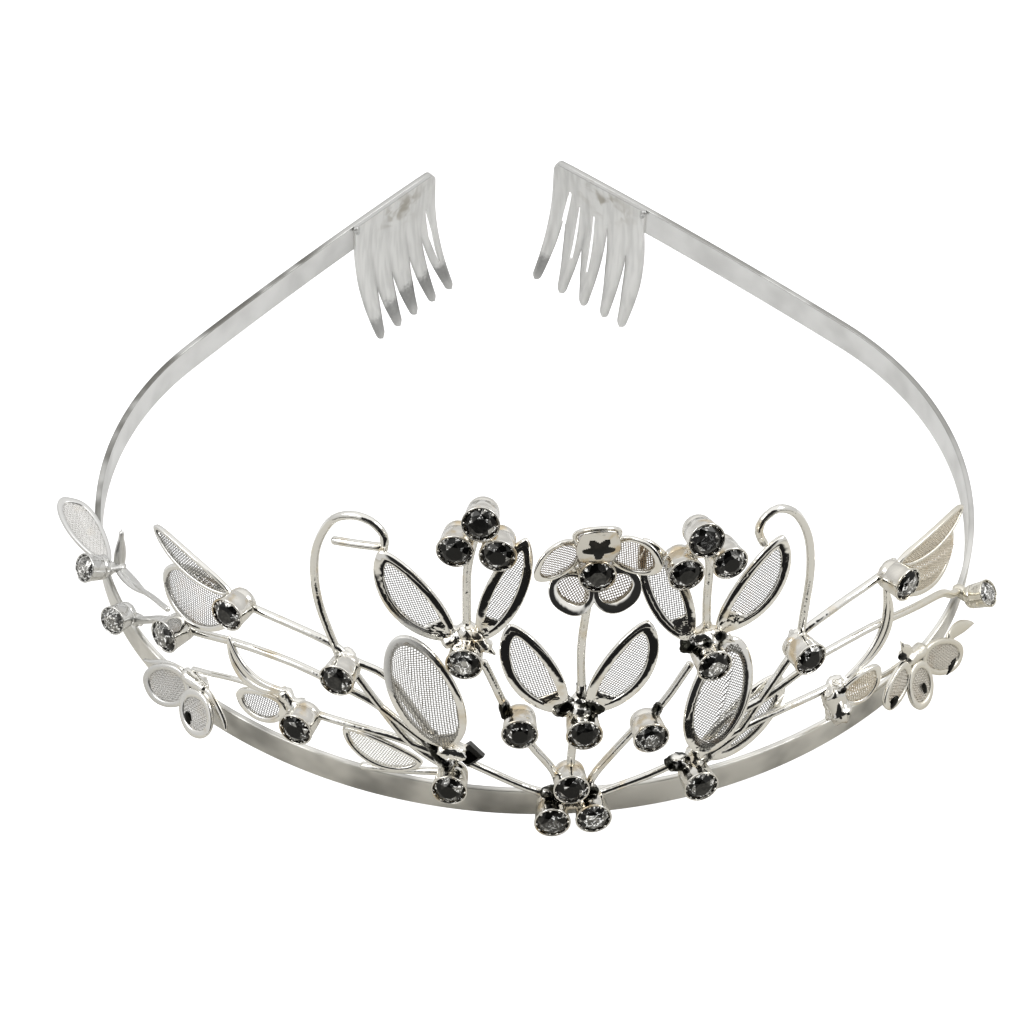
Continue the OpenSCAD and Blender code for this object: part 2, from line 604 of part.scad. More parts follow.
module right_branch() {
    color(silver) place() union() {
        for (c = [right_crook_cup, right_big_cup, right_fold_cup]) cup(c);
        cup(right_low_cup);
        cup(right_side_at);
        bead([69.3, 6.6, 1], [69, 6, 2.2], 0.9);
        bead([15, 8.6, 1.7], [14.2, 8.6, 1.5], 1.3);
        bead([17.4, 9, 1.5], [16.9, 6.9, 1.7], 1.6);
        bead([17.8, 9.8, 2], [18.8, 8.2, 1.2], 1.3);
        bead([32.8, 23.8, 1.5], [32.6, 22.6, 1.7], 1.3);
        bead([39.4, 12, 1.5], [38.4, 10.6, 1.7], 1.3);
        bead([50.6, 26.4, 1.7], [49.4, 26.2, 1.7], 1.3);
        for (w = [right_crook, right_upper_wire, right_side_wire, right_lower_wire,
            right_cross_wire]) wire(w);
        for (f = [right_big_leaf, right_behind_leaf, right_strip_leaf, right_fan_leaf,
            right_lobe, right_flap]) rim(f);
    }
}

module left_flower() {
    color(silver) place() union() {
        for (f = left_flower_petals) rim(f);
        bead([-55.8, 8.2, 2], [-53, 8, 2], 1.1);
        bead([-54.6, 7.4, 1.6], [-54.6, 6.5, 0.2], 1);
        hull() {
            bead([-52.4, 8, 2.2], [-50.8, 7, 2.4], 0.7);
            bead([-48.4, 4.6, 2.6], [-47.9, 3.6, 2.8], 0.4);
        }
        hull() {
            bead([-56, 8.6, 2.2], [-59, 7.8, 2.4], 0.6);
            bead([-62, 6.2, 2.8], [-63.4, 5.6, 3], 0.4);
        }
    }
}

module right_flower() {
    color(silver) place() union() {
        for (f = right_flower_petals) rim(f);
        bead([55.6, 7.6, 2], [52.8, 7.8, 2], 1.1);
        bead([54.4, 7.2, 1.6], [54.4, 6.5, 0.2], 1);
        wire(right_thin_wire, thin_r);
        hull() {
            bead([53.4, 8, 2], [52.8, 9.4, 2], 0.8);
            bead([52, 11, 2], [51.7, 12, 2], 0.4);
        }
        hull() {
            bead([61, 5.3, 3], [63.6, 4.6, 2.8], 0.7);
            bead([66.6, 3, 3.4], [67.6, 2.4, 3.6], 0.4);
        }
    }
}

module left_tail() {
    color(silver) place() union() {
        cup(left_tail_cup);
        bead([-80, 6.6, 0.6], [-82, 6.4, 0.8], 1);
        bead([-80, 6.8, 0.6], [-80, 6.8, -0.9], 0.9);
        rim(tail_broad_leaf);
        wire(tail_thin_wire, thin_r);
        wire(tail_spike, thin_r);
        hull() {
            bead([-80.2, 7, -0.9], [-80.6, 9, -0.9], 0.8);
            bead([-81.2, 11.2, -0.9], [-81.4, 12.4, -0.9], 0.4);
        }
        hull() {
            bead([-79.4, 6.8, -1], [-77.6, 7.2, -1.2], 0.7);
            bead([-73, 9, -1.2], [-70, 10.8, -1], 0.4);
        }
    }
}

module stone_base_top() { color(stone_grey) place() stone(base_top); }
module stone_base_left() { color(stone_grey) place() stone(base_left); }
module stone_base_right() { color(stone_grey) place() stone(base_right); }
module stone_centre() { color(stone_grey) place() stone(centre_cup); }
module stone_left_stem() { color(stone_grey) place() stone(left_stem_cup); }
module stone_right_stem() { color(stone_grey) place() stone(right_stem_cup); }
module stone_left_junction() { color(stone_grey) place() stone(left_junction); }
module stone_right_junction() { color(stone_grey) place() stone(right_junction); }
module stone_left_top_a() { color(stone_grey) place() stone(left_top_a); }
module stone_left_top_b() { color(stone_grey) place() stone(left_top_b); }
module stone_left_top_c() { color(stone_grey) place() stone(left_top_c); }
module stone_right_top_a() { color(stone_grey) place() stone(right_top_a); }
module stone_right_top_b() { color(stone_grey) place() stone(right_top_b); }
module stone_right_top_c() { color(stone_grey) place() stone(right_top_c); }
module stone_flower() { color(stone_grey) place() stone(flower_cup); }
module stone_left_crook() { color(stone_grey) place() stone(left_crook_cup); }
module stone_right_crook() { color(stone_grey) place() stone(right_crook_cup); }
module stone_left_big() { color(stone_grey) place() stone(left_big_cup); }
module stone_right_big() { color(stone_grey) place() stone(right_big_cup); }
module stone_left_low() { color(stone_grey) place() stone(left_low_cup); }
module stone_right_low() { color(stone_grey) place() stone(right_low_cup); }
module stone_left_fold() { color(stone_grey) place() stone(left_fold_cup); }
module stone_right_fold() { color(stone_grey) place() stone(right_fold_cup); }
module stone_left_outer() { color(stone_grey) place() stone(left_outer_cup); }
module stone_left_tail() { color(stone_grey) place() stone(left_tail_cup); }
module stone_left_side() { color(stone_grey) place() stone(left_side_at); }
module stone_right_side() { color(stone_grey) place() stone(right_side_at); }

module gauze_centre_left() { color(gauze_grey) place() gauze(centre_left_leaf); }
module gauze_centre_right() { color(gauze_grey) place() gauze(centre_right_leaf); }
module gauze_left_inner() { color(gauze_grey) place() gauze(left_inner_leaf); }
module gauze_left_outer() { color(gauze_grey) place() gauze(left_outer_leaf); }
module gauze_right_inner() { color(gauze_grey) place() gauze(right_inner_leaf); }
module gauze_right_outer() { color(gauze_grey) place() gauze(right_outer_leaf); }
module gauze_left_big() { color(gauze_grey) place() gauze(left_big_leaf); }
module gauze_right_big() { color(gauze_grey) place() gauze(right_big_leaf); }
module gauze_right_behind() { color(gauze_grey) place() gauze(right_behind_leaf); }
module gauze_left_low() { color(gauze_grey) place() gauze(left_low_leaf); }
module gauze_left_loop() { color(gauze_grey) place() gauze(left_loop_leaf); }
module gauze_left_fold() {
    color(gauze_grey) place() for (f = [left_lobe, left_flap]) gauze(f);
}
module gauze_right_fold() {
    color(gauze_grey) place() for (f = [right_lobe, right_flap]) gauze(f);
}
module gauze_left_tail() { color(gauze_grey) place() gauze(tail_broad_leaf); }
module gauze_right_fan() { color(gauze_grey) place() gauze(right_fan_leaf); }
module gauze_top_flower() {
    color(gauze_grey) place() for (f = flower_petals) gauze(f);
}
module gauze_left_flower() {
    color(gauze_grey) place() for (f = left_flower_petals) gauze(f);
}
module gauze_right_flower() {
    color(gauze_grey) place() for (f = right_flower_petals) gauze(f);
}

band();
left_comb();
right_comb();
centre_wirework();
left_twig();
right_twig();
left_branch();
right_branch();
left_flower();
right_flower();
left_tail();
stone_base_top();
stone_base_left();
stone_base_right();
stone_centre();
stone_left_stem();
stone_right_stem();
stone_left_junction();
stone_right_junction();
stone_left_top_a();
stone_left_top_b();
stone_left_top_c();
stone_right_top_a();
stone_right_top_b();
stone_right_top_c();
stone_flower();
stone_left_crook();
stone_right_crook();
stone_left_big();
stone_right_big();
stone_left_low();
stone_right_low();
stone_left_fold();
stone_right_fold();
stone_left_outer();
stone_left_tail();
stone_left_side();
stone_right_side();
gauze_centre_left();
gauze_centre_right();
gauze_left_inner();
gauze_left_outer();
gauze_right_inner();
gauze_right_outer();
gauze_left_big();
gauze_right_big();
gauze_right_behind();
gauze_left_low();
gauze_left_loop();
gauze_left_fold();
gauze_right_fold();
gauze_left_tail();
gauze_right_fan();
gauze_top_flower();
gauze_left_flower();
gauze_right_flower();
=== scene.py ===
"""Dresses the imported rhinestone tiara: plated wire, gauze leaves, cut stones, band and combs."""

import logging
import math
import random
from dataclasses import dataclass, field
from enum import Enum
from typing import Iterable, Sequence, TypeVar

import bmesh
import bpy
from mathutils import Matrix, Vector, noise


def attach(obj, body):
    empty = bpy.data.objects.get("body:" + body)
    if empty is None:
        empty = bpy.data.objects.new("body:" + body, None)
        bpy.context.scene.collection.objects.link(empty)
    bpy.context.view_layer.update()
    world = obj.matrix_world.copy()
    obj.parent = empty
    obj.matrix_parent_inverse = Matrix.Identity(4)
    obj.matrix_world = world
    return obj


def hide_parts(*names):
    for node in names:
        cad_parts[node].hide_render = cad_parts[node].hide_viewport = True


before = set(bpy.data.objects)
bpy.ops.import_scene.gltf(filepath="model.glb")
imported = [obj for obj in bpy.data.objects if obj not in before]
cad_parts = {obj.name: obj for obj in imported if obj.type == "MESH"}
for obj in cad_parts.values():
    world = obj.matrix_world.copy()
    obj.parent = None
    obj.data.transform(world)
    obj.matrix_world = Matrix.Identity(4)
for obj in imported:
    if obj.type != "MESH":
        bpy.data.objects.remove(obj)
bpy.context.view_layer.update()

log = logging.getLogger("tiara")
BODY = "root"
MM = 0.001


@dataclass(frozen=True)
class Wall:
    """The band's outline and the wall that leans in over it, in millimetres.

    A place on the wall is (along, height, out): distance along the band from the front
    centre, height up the leaning wall, and distance out from it.
    """

    front_r: float = 72.0
    front_turn: float = 41.5
    side_r: float = 48.0
    side_turn: float = 92.5
    back_r: float = 780.0
    back_turn: float = 4.0
    front_y: float = 55.5
    lean: float = 10.0
    rest_tilt: float = 9.1
    shift: tuple[float, float] = (2.64, -4.93)

    @property
    def radii(self) -> tuple[float, ...]:
        """Outer radii of the front, side and back arcs."""
        return (self.front_r, self.side_r, self.back_r)

    @property
    def turns(self) -> tuple[float, ...]:
        """Angles of the three arcs, in radians."""
        return tuple(math.radians(a) for a in (self.front_turn, self.side_turn, self.back_turn))

    @property
    def starts(self) -> tuple[float, ...]:
        """Distance along the band at which each arc starts."""
        lengths = [r * a for r, a in zip(self.radii, self.turns)]
        return (0.0, lengths[0], lengths[0] + lengths[1])

    @property
    def half_length(self) -> float:
        """Length of one half of the band."""
        return self.starts[2] + self.radii[2] * self.turns[2]

    def _arc(self, s: float) -> int:
        """Number of the arc that holds a distance."""
        return sum(1 for start in self.starts[1:] if s >= start)

    def heading(self, s: float) -> float:
        """Angle that the outline has turned by a distance, in radians."""
        i = self._arc(abs(s))
        return sum(self.turns[:i]) + (abs(s) - self.starts[i]) / self.radii[i]

    def plan(self, s: float) -> Vector:
        """Point of the band's outer face at a distance along it, at height 0.

        Args:
            s: Distance along the wall from the middle.

        Returns:
            The place on the table.
        """
        centre = Vector((0.0, self.front_r - self.front_y, 0.0))
        head = 0.0
        for i in range(self._arc(abs(s))):
            head += self.turns[i]
            step = self.radii[i] - self.radii[i + 1]
            centre += step * Vector((math.sin(head), -math.cos(head), 0.0))
        a = self.heading(s)
        p = centre + self.radii[self._arc(abs(s))] * Vector((math.sin(a), -math.cos(a), 0.0))
        return Vector((math.copysign(1.0, s) * p.x, p.y, 0.0))

    def flat_out(self, s: float) -> Vector:
        """Level direction away from the head."""
        a = self.heading(s)
        return Vector((math.copysign(math.sin(a), s) if s else 0.0, -math.cos(a), 0.0))

    def out(self, s: float) -> Vector:
        """Direction straight out of the leaning wall."""
        n, a = self.flat_out(s), math.radians(self.lean)
        return n * math.cos(a) + Vector((0.0, 0.0, math.sin(a)))

    def up(self, s: float) -> Vector:
        """Direction up the leaning wall."""
        n, a = self.flat_out(s), math.radians(self.lean)
        return Vector((0.0, 0.0, math.cos(a))) - n * math.sin(a)

    def along(self, s: float) -> Vector:
        """Direction along the wall, to the right as seen from the front."""
        n = self.flat_out(s)
        return Vector((-n.y, n.x, 0.0))

    def at(self, q: "Place") -> Vector:
        """Point in space of a place on the wall."""
        return self.plan(q[0]) + self.up(q[0]) * q[1] + self.out(q[0]) * q[2]

    def rest(self) -> Matrix:
        """Turns millimetres on the level band into metres on the resting tiara.

        Returns:
            The matrix that does it.
        """
        tilt = math.radians(self.rest_tilt)
        lift = self.front_y * math.sin(tilt)
        move = Matrix.Translation((self.shift[0], self.shift[1], lift))
        return Matrix.Scale(MM, 4) @ move @ Matrix.Rotation(tilt, 4, "X")


Place = tuple[float, float, float]
Bead = tuple[Place, Place, float]
WALL = Wall()
REST = WALL.rest()


# Shader nodes

class Value:
    """A shader value on which Python's operators add Math nodes."""

    def __init__(self, graph: "Graph", socket: bpy.types.NodeSocket) -> None:
        """Keeps the socket and the graph that it belongs to."""
        self.graph = graph
        self.socket = socket

    def _math(self, operation: str, first: object, second: object = 0.0) -> "Value":
        """Adds one Math node."""
        return self.graph.add("ShaderNodeMath", {"operation": operation}, {0: first, 1: second})

    def __add__(self, other: object) -> "Value":
        """Sum."""
        return self._math("ADD", self, other)

    __radd__ = __add__

    def __sub__(self, other: object) -> "Value":
        """Difference."""
        return self._math("SUBTRACT", self, other)

    def __rsub__(self, other: object) -> "Value":
        """Difference the other way round."""
        return self._math("SUBTRACT", other, self)

    def __mul__(self, other: object) -> "Value":
        """Product."""
        return self._math("MULTIPLY", self, other)

    __rmul__ = __mul__

    def __abs__(self) -> "Value":
        """Size without the sign."""
        return self._math("ABSOLUTE", self)

    def step(self, low: float, high: float) -> "Value":
        """Rises smoothly from 0 at low to 1 at high.

        Args:
            low: Value at which the rise starts.
            high: Value at which it ends; below low, the value falls instead.

        Returns:
            The smooth step.
        """
        return self.graph.add(
            "ShaderNodeMapRange", {"interpolation_type": "SMOOTHSTEP"},
            {"Value": self, "From Min": low, "From Max": high})


class Graph:
    """The nodes of one material or world."""

    def __init__(self, tree: bpy.types.NodeTree) -> None:
        """Keeps the node tree."""
        self.tree = tree

    def put(self, node: bpy.types.Node, name: str | int, value: object) -> None:
        """Links or sets one input of a node.

        Args:
            node: The node.
            name: Name or number of its input.
            value: A constant or another node's value.
        """
        socket = node.inputs[name]
        if isinstance(value, Value):
            self.tree.links.new(value.socket, socket)
        else:
            socket.default_value = value

    def add(self, kind: str, settings: dict[str, object] | None = None,
            inputs: dict[str | int, object] | None = None, output: str | int = 0) -> Value:
        """Adds one node.

        Args:
            kind: Blender's name of the node's type.
            settings: Properties of the node.
            inputs: Values or links, by the socket's name or number.
            output: The socket to return.

        Returns:
            The node's output as a value.
        """
        node = self.tree.nodes.new(kind)
        for name, value in (settings or {}).items():
            setattr(node, name, value)
        for name, value in (inputs or {}).items():
            self.put(node, name, value)
        return Value(self, node.outputs[output] if node.outputs else node.inputs[0])

    def vector(self, operation: str, *operands: object, output: str | int = 0) -> Value:
        """Adds one Vector Math node, with its operands in order."""
        return self.add("ShaderNodeVectorMath", {"operation": operation},
                        dict(enumerate(operands)), output)

    def attribute(self, name: str) -> Value:
        """Reads a number that the mesh carries."""
        return self.add("ShaderNodeAttribute", {"attribute_name": name}, output="Fac")

    def bump(self, height: Value, distance_mm: float, strength: float = 1.0) -> Value:
        """Turns heights into a bumped normal.

        Args:
            height: The height.
            distance_mm: What a height of one stands for.
            strength: How strongly it shows.

        Returns:
            The normal.
        """
        return self.add("ShaderNodeBump", inputs={
            "Strength": strength, "Distance": distance_mm * MM, "Height": height},
            output="Normal")

    def object_place(self, axis: str | None = None) -> Value:
        """Object coordinates, or one axis of them, in metres.

        Args:
            axis: X, Y or Z.

        Returns:
            The coordinate.
        """
        place = self.add("ShaderNodeTexCoord", output="Object")
        if axis is None:
            return place
        return self.add("ShaderNodeSeparateXYZ", inputs={0: place}, output=axis)

    def blotches(self, size_mm: float, detail: float = 2.0, distortion: float = 0.0) -> Value:
        """Soft noise with features of a size.

        Args:
            size_mm: Size of one blotch.
            detail: How many finer layers the noise has.
            distortion: How far the noise is warped.

        Returns:
            Noise from 0 to 1.
        """
        return self.add("ShaderNodeTexNoise", inputs={
            "Vector": self.object_place(), "Scale": 1.0 / (size_mm * MM), "Detail": detail,
            "Distortion": distortion})

    def blend(self, share: object, first: object, second: object) -> Value:
        """Mixes two colours.

        Args:
            share: How much of the second colour, from 0 to 1.
            first: Colour or link at 0.
            second: Colour or link at 1.

        Returns:
            The mixed colour.
        """
        return self.add("ShaderNodeMix", {"data_type": "RGBA"},
                        {0: share, 6: first, 7: second}, output=2)


Colour = tuple[float, float, float, float]
BLACK: Colour = (0.0, 0.0, 0.0, 1.0)


def new_material(name: str) -> tuple[Graph, bpy.types.Node, bpy.types.Material]:
    """Starts a material.

    Args:
        name: The material's name.

    Returns:
        Its graph, its shader and itself.
    """
    material = bpy.data.materials.new(name)
    material.use_nodes = True
    graph = Graph(material.node_tree)
    return graph, material.node_tree.nodes["Principled BSDF"], material


def feed(graph: Graph, shader: bpy.types.Node, **inputs: object) -> None:
    """Links or sets the shader's sockets, with _ for a space in a name."""
    for name, value in inputs.items():
        graph.put(shader, name.replace("_", " "), value)


@dataclass(frozen=True)
class Plating:
    """Bright plating with warm flux stains, fine ripples and paler, hazier side pieces.

    The lift raises the shading normals. The painted pale patch is one round patch, paler, rougher
    and less metallic, in object coordinates: painted light. On the solder with painted dark
    reflections, the stain blotches are black: painted dark reflections.
    """

    name: str
    bright: Colour = (0.94, 0.925, 0.88, 1.0)
    stain_and_painted_dark: Colour = (0.80, 0.73, 0.60, 1.0)
    stain_and_painted_dark_mm: float = 4.0
    stain_and_painted_dark_from: float = 0.56
    polish: float = 0.08
    haze: float = 0.34
    haze_from_mm: float = 42.0
    haze_to_mm: float = 56.0
    left_side: Colour = (0.72, 0.72, 0.71, 1.0)
    right_side: Colour = (0.80, 0.765, 0.67, 1.0)
    ripple_mm: float = 1.2
    ripple_height_mm: float = 0.03
    lift: float = 0.0
    side_share: float = 0.9
    painted_pale_patch_at_mm: tuple[float, float, float] = (0.0, 0.0, 0.0)
    painted_pale_patch_mm: float = 0.0
    painted_pale_patch: Colour = (0.86, 0.855, 0.83, 1.0)

    def make(self) -> bpy.types.Material:
        """Builds the material.

        Returns:
            The material.
        """
        graph, shader, material = new_material(self.name)
        # Stain blotches: warm stains on most finishes; black on the dark finishes, where they are
        # painted dark reflections.
        stained_and_painted_dark = graph.blotches(self.stain_and_painted_dark_mm, 3.0).step(self.stain_and_painted_dark_from, self.stain_and_painted_dark_from + 0.16)
        side = abs(graph.object_place("X")).step(self.haze_from_mm * MM, self.haze_to_mm * MM)
        right = graph.object_place("X").step(-10.0 * MM, 10.0 * MM)
        front = graph.blend(stained_and_painted_dark, self.bright, self.stain_and_painted_dark)
        sides = graph.blend(right, self.left_side, self.right_side)
        bump = graph.bump(graph.blotches(self.ripple_mm, 2.0, 0.4), self.ripple_height_mm)
        raised = graph.vector("ADD", bump, (0.0, 0.0, self.lift))
        tone = graph.blend(side * self.side_share, front, sides)
        rough = self.polish + side * (self.haze - self.polish) + stained_and_painted_dark * 0.08
        metallic: object = 1.0
        # A round patch of the rim is paler, rougher and less metallic: painted light where the rim
        # would mirror the dark.
        if self.painted_pale_patch_mm:
            centre = tuple(MM * c for c in self.painted_pale_patch_at_mm)
            far = graph.vector("DISTANCE", graph.object_place(), centre, output="Value")
            painted_pale_patch = far.step(self.painted_pale_patch_mm * MM, 0.6 * self.painted_pale_patch_mm * MM)
            tone = graph.blend(painted_pale_patch, tone, self.painted_pale_patch)
            rough = rough + painted_pale_patch * 0.3
            metallic = 1.0 - painted_pale_patch * 0.8
        feed(graph, shader, Base_Color=tone, Metallic=metallic, Roughness=rough,
             Normal=graph.vector("NORMALIZE", raised))
        return material


@dataclass(frozen=True)
class Satin:
    """Satin plating of the band: a cloudy front with a brighter window on its right, painted light,
    and a greyer top edge at the back, painted shade, with dark streaks.
    """

    name: str
    front: Colour = (0.90, 0.89, 0.85, 1.0)
    back: Colour = (0.80, 0.80, 0.785, 1.0)
    edge: Colour = (0.60, 0.60, 0.585, 1.0)
    streak: Colour = (0.13, 0.125, 0.11, 1.0)
    comb_end_mm: float = 23.0
    dark_to_mm: float = -30.0
    pale_from_mm: float = -5.0
    cloud_mm: float = 7.0
    cloud_depth: float = 0.5
    smooth: float = 0.30
    dull: float = 0.46
    painted_lit_window_mm: tuple[float, float] = (5.0, 20.0)

    def make(self) -> bpy.types.Material:
        """Builds the material.

        Returns:
            The material.
        """
        graph, shader, material = new_material(self.name)
        back = graph.object_place("Y").step(self.dark_to_mm * MM, self.pale_from_mm * MM)
        tone = graph.blend(back, self.front, self.back)
        cloud = graph.blotches(self.cloud_mm, 2.0).step(0.35, 0.75)
        dark = graph.vector("MULTIPLY", tone, (1.0 - self.cloud_depth,) * 3)
        # Between these distances along X, the front is free of clouds and less metallic, so it
        # shows brighter: painted light.
        start, end = (MM * x for x in self.painted_lit_window_mm)
        across = graph.object_place("X")
        painted_lit_window = across.step(start - 3 * MM, start) * across.step(end + 3 * MM, end) * (1.0 - back)
        face = graph.blend(cloud * (1.0 - back * 0.7) * (1.0 - painted_lit_window), tone, dark)
        comb_end = self.comb_end_mm * MM
        away = abs(across).step(comb_end, comb_end * 1.3)
        left = across.step(comb_end, -comb_end)
        streak = graph.blotches(9.0, 2.0).step(0.32, 0.52) * away
        # The back's top edge is greyer: painted shade; dark streaks lie on it.
        edge = graph.blend(streak * (0.45 + left * 0.4), self.edge, self.streak)
        feed(graph, shader,
             Base_Color=graph.blend(graph.attribute("rise").step(0.955, 0.985) * back, face, edge),
             Metallic=1.0 - painted_lit_window * 0.35,
             Roughness=self.smooth + cloud * (self.dull - self.smooth),
             Normal=graph.bump(graph.blotches(0.35, 2.0), 0.01, 0.4))
        return material


@dataclass(frozen=True)
class CombSatin:
    """Satin plating of the combs, tarnished grey near the tips and brownish at the solder, with
    painted shade along the top edge and towards the teeth's sides.
    """

    name: str
    pale: Colour = (0.86, 0.86, 0.84, 1.0)
    tarnish: Colour = (0.26, 0.26, 0.255, 1.0)
    solder: Colour = (0.40, 0.37, 0.31, 1.0)
    rim: Colour = (0.60, 0.60, 0.59, 1.0)
    tarnish_from: float = 0.75
    tarnish_peak: float = 0.83
    tip_from: float = 0.87

    def make(self) -> bpy.types.Material:
        """Builds the material.

        Returns:
            The material.
        """
        graph, shader, material = new_material(self.name)
        down, worn, smear, side = map(graph.attribute, ("down", "worn", "smear", "side"))
        spread = graph.blotches(2.2, 2.0)
        grain = graph.blotches(0.5, 2.0)
        level = down + (spread - 0.5) * 0.10 + (grain - 0.5) * 0.06 - (1.0 - worn) * 0.3
        band = level.step(self.tarnish_from, self.tarnish_peak) * worn
        band = band * (1.0 - level.step(self.tip_from, 1.0) * 0.65) * (0.8 + grain * 0.4)
        tall = graph.vector("MULTIPLY", graph.object_place(), (1.0, 1.0, 0.14))
        streak = graph.add("ShaderNodeTexNoise", inputs={
            "Vector": tall, "Scale": 1.0 / (0.8 * MM), "Detail": 1.0})
        top = smear * graph.blotches(2.6, 2.0, 0.6).step(0.42, 0.62)
        # The side value darkens each tooth towards its edges, more so lower down: painted shade of
        # the trough.
        grey = graph.blend(streak.step(0.35, 0.7) * 0.16 + side * 0.3, self.pale, self.tarnish)
        tone = graph.blend(band * 0.8, grey, self.tarnish)
        # A greyer band along the top edge: painted shade.
        tone = graph.blend(1.0 - down.step(0.004, 0.016), tone, self.rim)
        feed(graph, shader,
             Base_Color=graph.blend(top * 0.85, tone, self.solder),
             Metallic=1.0,
             Roughness=0.34 + spread * 0.14,
             Normal=graph.bump(grain, 0.02, 0.5))
        return material


@dataclass(frozen=True)
class SmokeStone:
    """Smoke-grey cut glass on a dark foil, with painted light: each facet gets its own painted
    brightness, and emission paints glints.
    """

    name: str
    dark: Colour = (0.010, 0.010, 0.009, 1.0)
    light: Colour = (0.62, 0.61, 0.58, 1.0)
    painted_spark: Colour = (0.90, 0.90, 0.88, 1.0)
    painted_spark_from: float = 0.16
    painted_spark_mm: float = 0.62

    def make(self) -> bpy.types.Material:
        """Builds the material.

        Returns:
            The material.
        """
        graph, shader, material = new_material(self.name)
        # A random number per facet sets how bright the facet is: painted reflections.
        painted_glint = graph.attribute("painted_glint")
        depth = graph.blotches(0.9, 3.0, 1.5).step(0.42, 0.62)
        share = painted_glint * (0.35 + depth * 0.65)
        # Emission paints small white glints on the brighter facets and a faint glow on every facet:
        # painted glints.
        broken = graph.blotches(self.painted_spark_mm, 1.0, 2.0).step(0.56, 0.64)
        painted_spark = painted_glint.step(self.painted_spark_from, self.painted_spark_from + 0.25) * broken
        faint_painted_glow = graph.blend(painted_glint * 0.03, BLACK, self.painted_spark)
        feed(graph, shader,
             Base_Color=graph.blend(share, self.dark, self.light),
             Metallic=0.75,
             Roughness=0.10 + depth * 0.06,
             Emission_Color=graph.blend(painted_spark, faint_painted_glow, self.painted_spark),
             Emission_Strength=0.9,
             Coat_Weight=0.2, Coat_Roughness=0.02, Coat_IOR=1.5)
        return material


@dataclass(frozen=True)
class GauzeWire:
    """Fine drawn wire of the gauze."""

    name: str
    tone: Colour = (0.20, 0.195, 0.18, 1.0)
    warm: Colour = (0.24, 0.18, 0.12, 1.0)
    warm_from: float = 0.52
    metal: float = 0.15
    radius_mm: float = 0.054

    def make(self) -> bpy.types.Material:
        """Builds the material.

        Returns:
            The material.
        """
        graph, shader, material = new_material(self.name)
        patch = graph.blotches(3.0, 2.0).step(self.warm_from, self.warm_from + 0.2)
        feed(graph, shader,
             Base_Color=graph.blend(patch, self.tone, self.warm),
             Metallic=self.metal,
             Roughness=0.30 + graph.blotches(0.6, 2.0) * 0.14)
        return material


class Finish(Enum):
    """The finishes that a piece can wear."""

    WIRE = Plating("bright plated wire", bright=(0.88, 0.87, 0.83, 1.0), polish=0.07,
                   ripple_height_mm=0.06, lift=0.07)
    RIM = Plating("polished leaf rim", stain_and_painted_dark_from=0.56, polish=0.05, ripple_height_mm=0.07,
                  ripple_mm=2.6, lift=0.24, painted_pale_patch_at_mm=(-21.5, -59.5, 29.5), painted_pale_patch_mm=7.0)
    CUP = Plating("plated stone cup", bright=(0.83, 0.81, 0.76, 1.0),
                  stain_and_painted_dark=(0.70, 0.59, 0.42, 1.0), stain_and_painted_dark_mm=3.0, stain_and_painted_dark_from=0.52, polish=0.10,
                  haze=0.12, ripple_height_mm=0.06)
    # All black: used for dark ovals, and as painted dark reflection on the solder diamond and on
    # the plate's star.
    SPOT = Plating("black spots and painted dark reflections", bright=(0.02, 0.02, 0.018, 1.0),
                   stain_and_painted_dark=(0.05, 0.045, 0.04, 1.0), polish=0.2, side_share=0.0)
    SOLDER = Plating("lumpy plated solder", polish=0.06, stain_and_painted_dark_from=0.50, ripple_mm=1.5,
                     ripple_height_mm=0.26, lift=0.2)
    # Solder with black blotches over about half its face: painted dark reflections.
    FLUX = Plating("solder with painted dark reflections", stain_and_painted_dark=(0.02, 0.02, 0.016, 1.0), stain_and_painted_dark_mm=1.9,
                   stain_and_painted_dark_from=0.37, polish=0.06, ripple_mm=1.5, ripple_height_mm=0.26, lift=0.2)
    BAND = Satin("satin plated band")
    COMB = CombSatin("satin plated comb")
    STONE = SmokeStone("smoke grey stone")
    GAUZE = GauzeWire("woven gauze wire")
    WARM_GAUZE = GauzeWire("warm gauze wire", tone=(0.30, 0.22, 0.14, 1.0),
                           warm=(0.38, 0.25, 0.13, 1.0), radius_mm=0.06)
    PALE_GAUZE = GauzeWire("pale gauze wire", tone=(0.42, 0.41, 0.38, 1.0),
                           warm=(0.30, 0.27, 0.22, 1.0), radius_mm=0.062)
    CREAM_GAUZE = GauzeWire("cream gauze wire", tone=(0.86, 0.84, 0.77, 1.0),
                            warm=(0.80, 0.76, 0.66, 1.0), radius_mm=0.062)
    CLOSE_GAUZE = GauzeWire("close satin gauze", tone=(0.82, 0.81, 0.79, 1.0),
                            warm=(0.84, 0.81, 0.76, 1.0), radius_mm=0.135)
    DULL_GAUZE = GauzeWire("close dull gauze", tone=(0.78, 0.74, 0.66, 1.0),
                           warm=(0.72, 0.65, 0.55, 1.0), radius_mm=0.135)
    BEIGE_GAUZE = GauzeWire("close beige gauze", tone=(0.88, 0.81, 0.68, 1.0),
                            warm=(0.80, 0.69, 0.52, 1.0), radius_mm=0.105)

    def material(self) -> bpy.types.Material:
        """The finish's material, made when first asked for."""
        return bpy.data.materials.get(self.value.name) or self.value.make()


# Leaves and cups

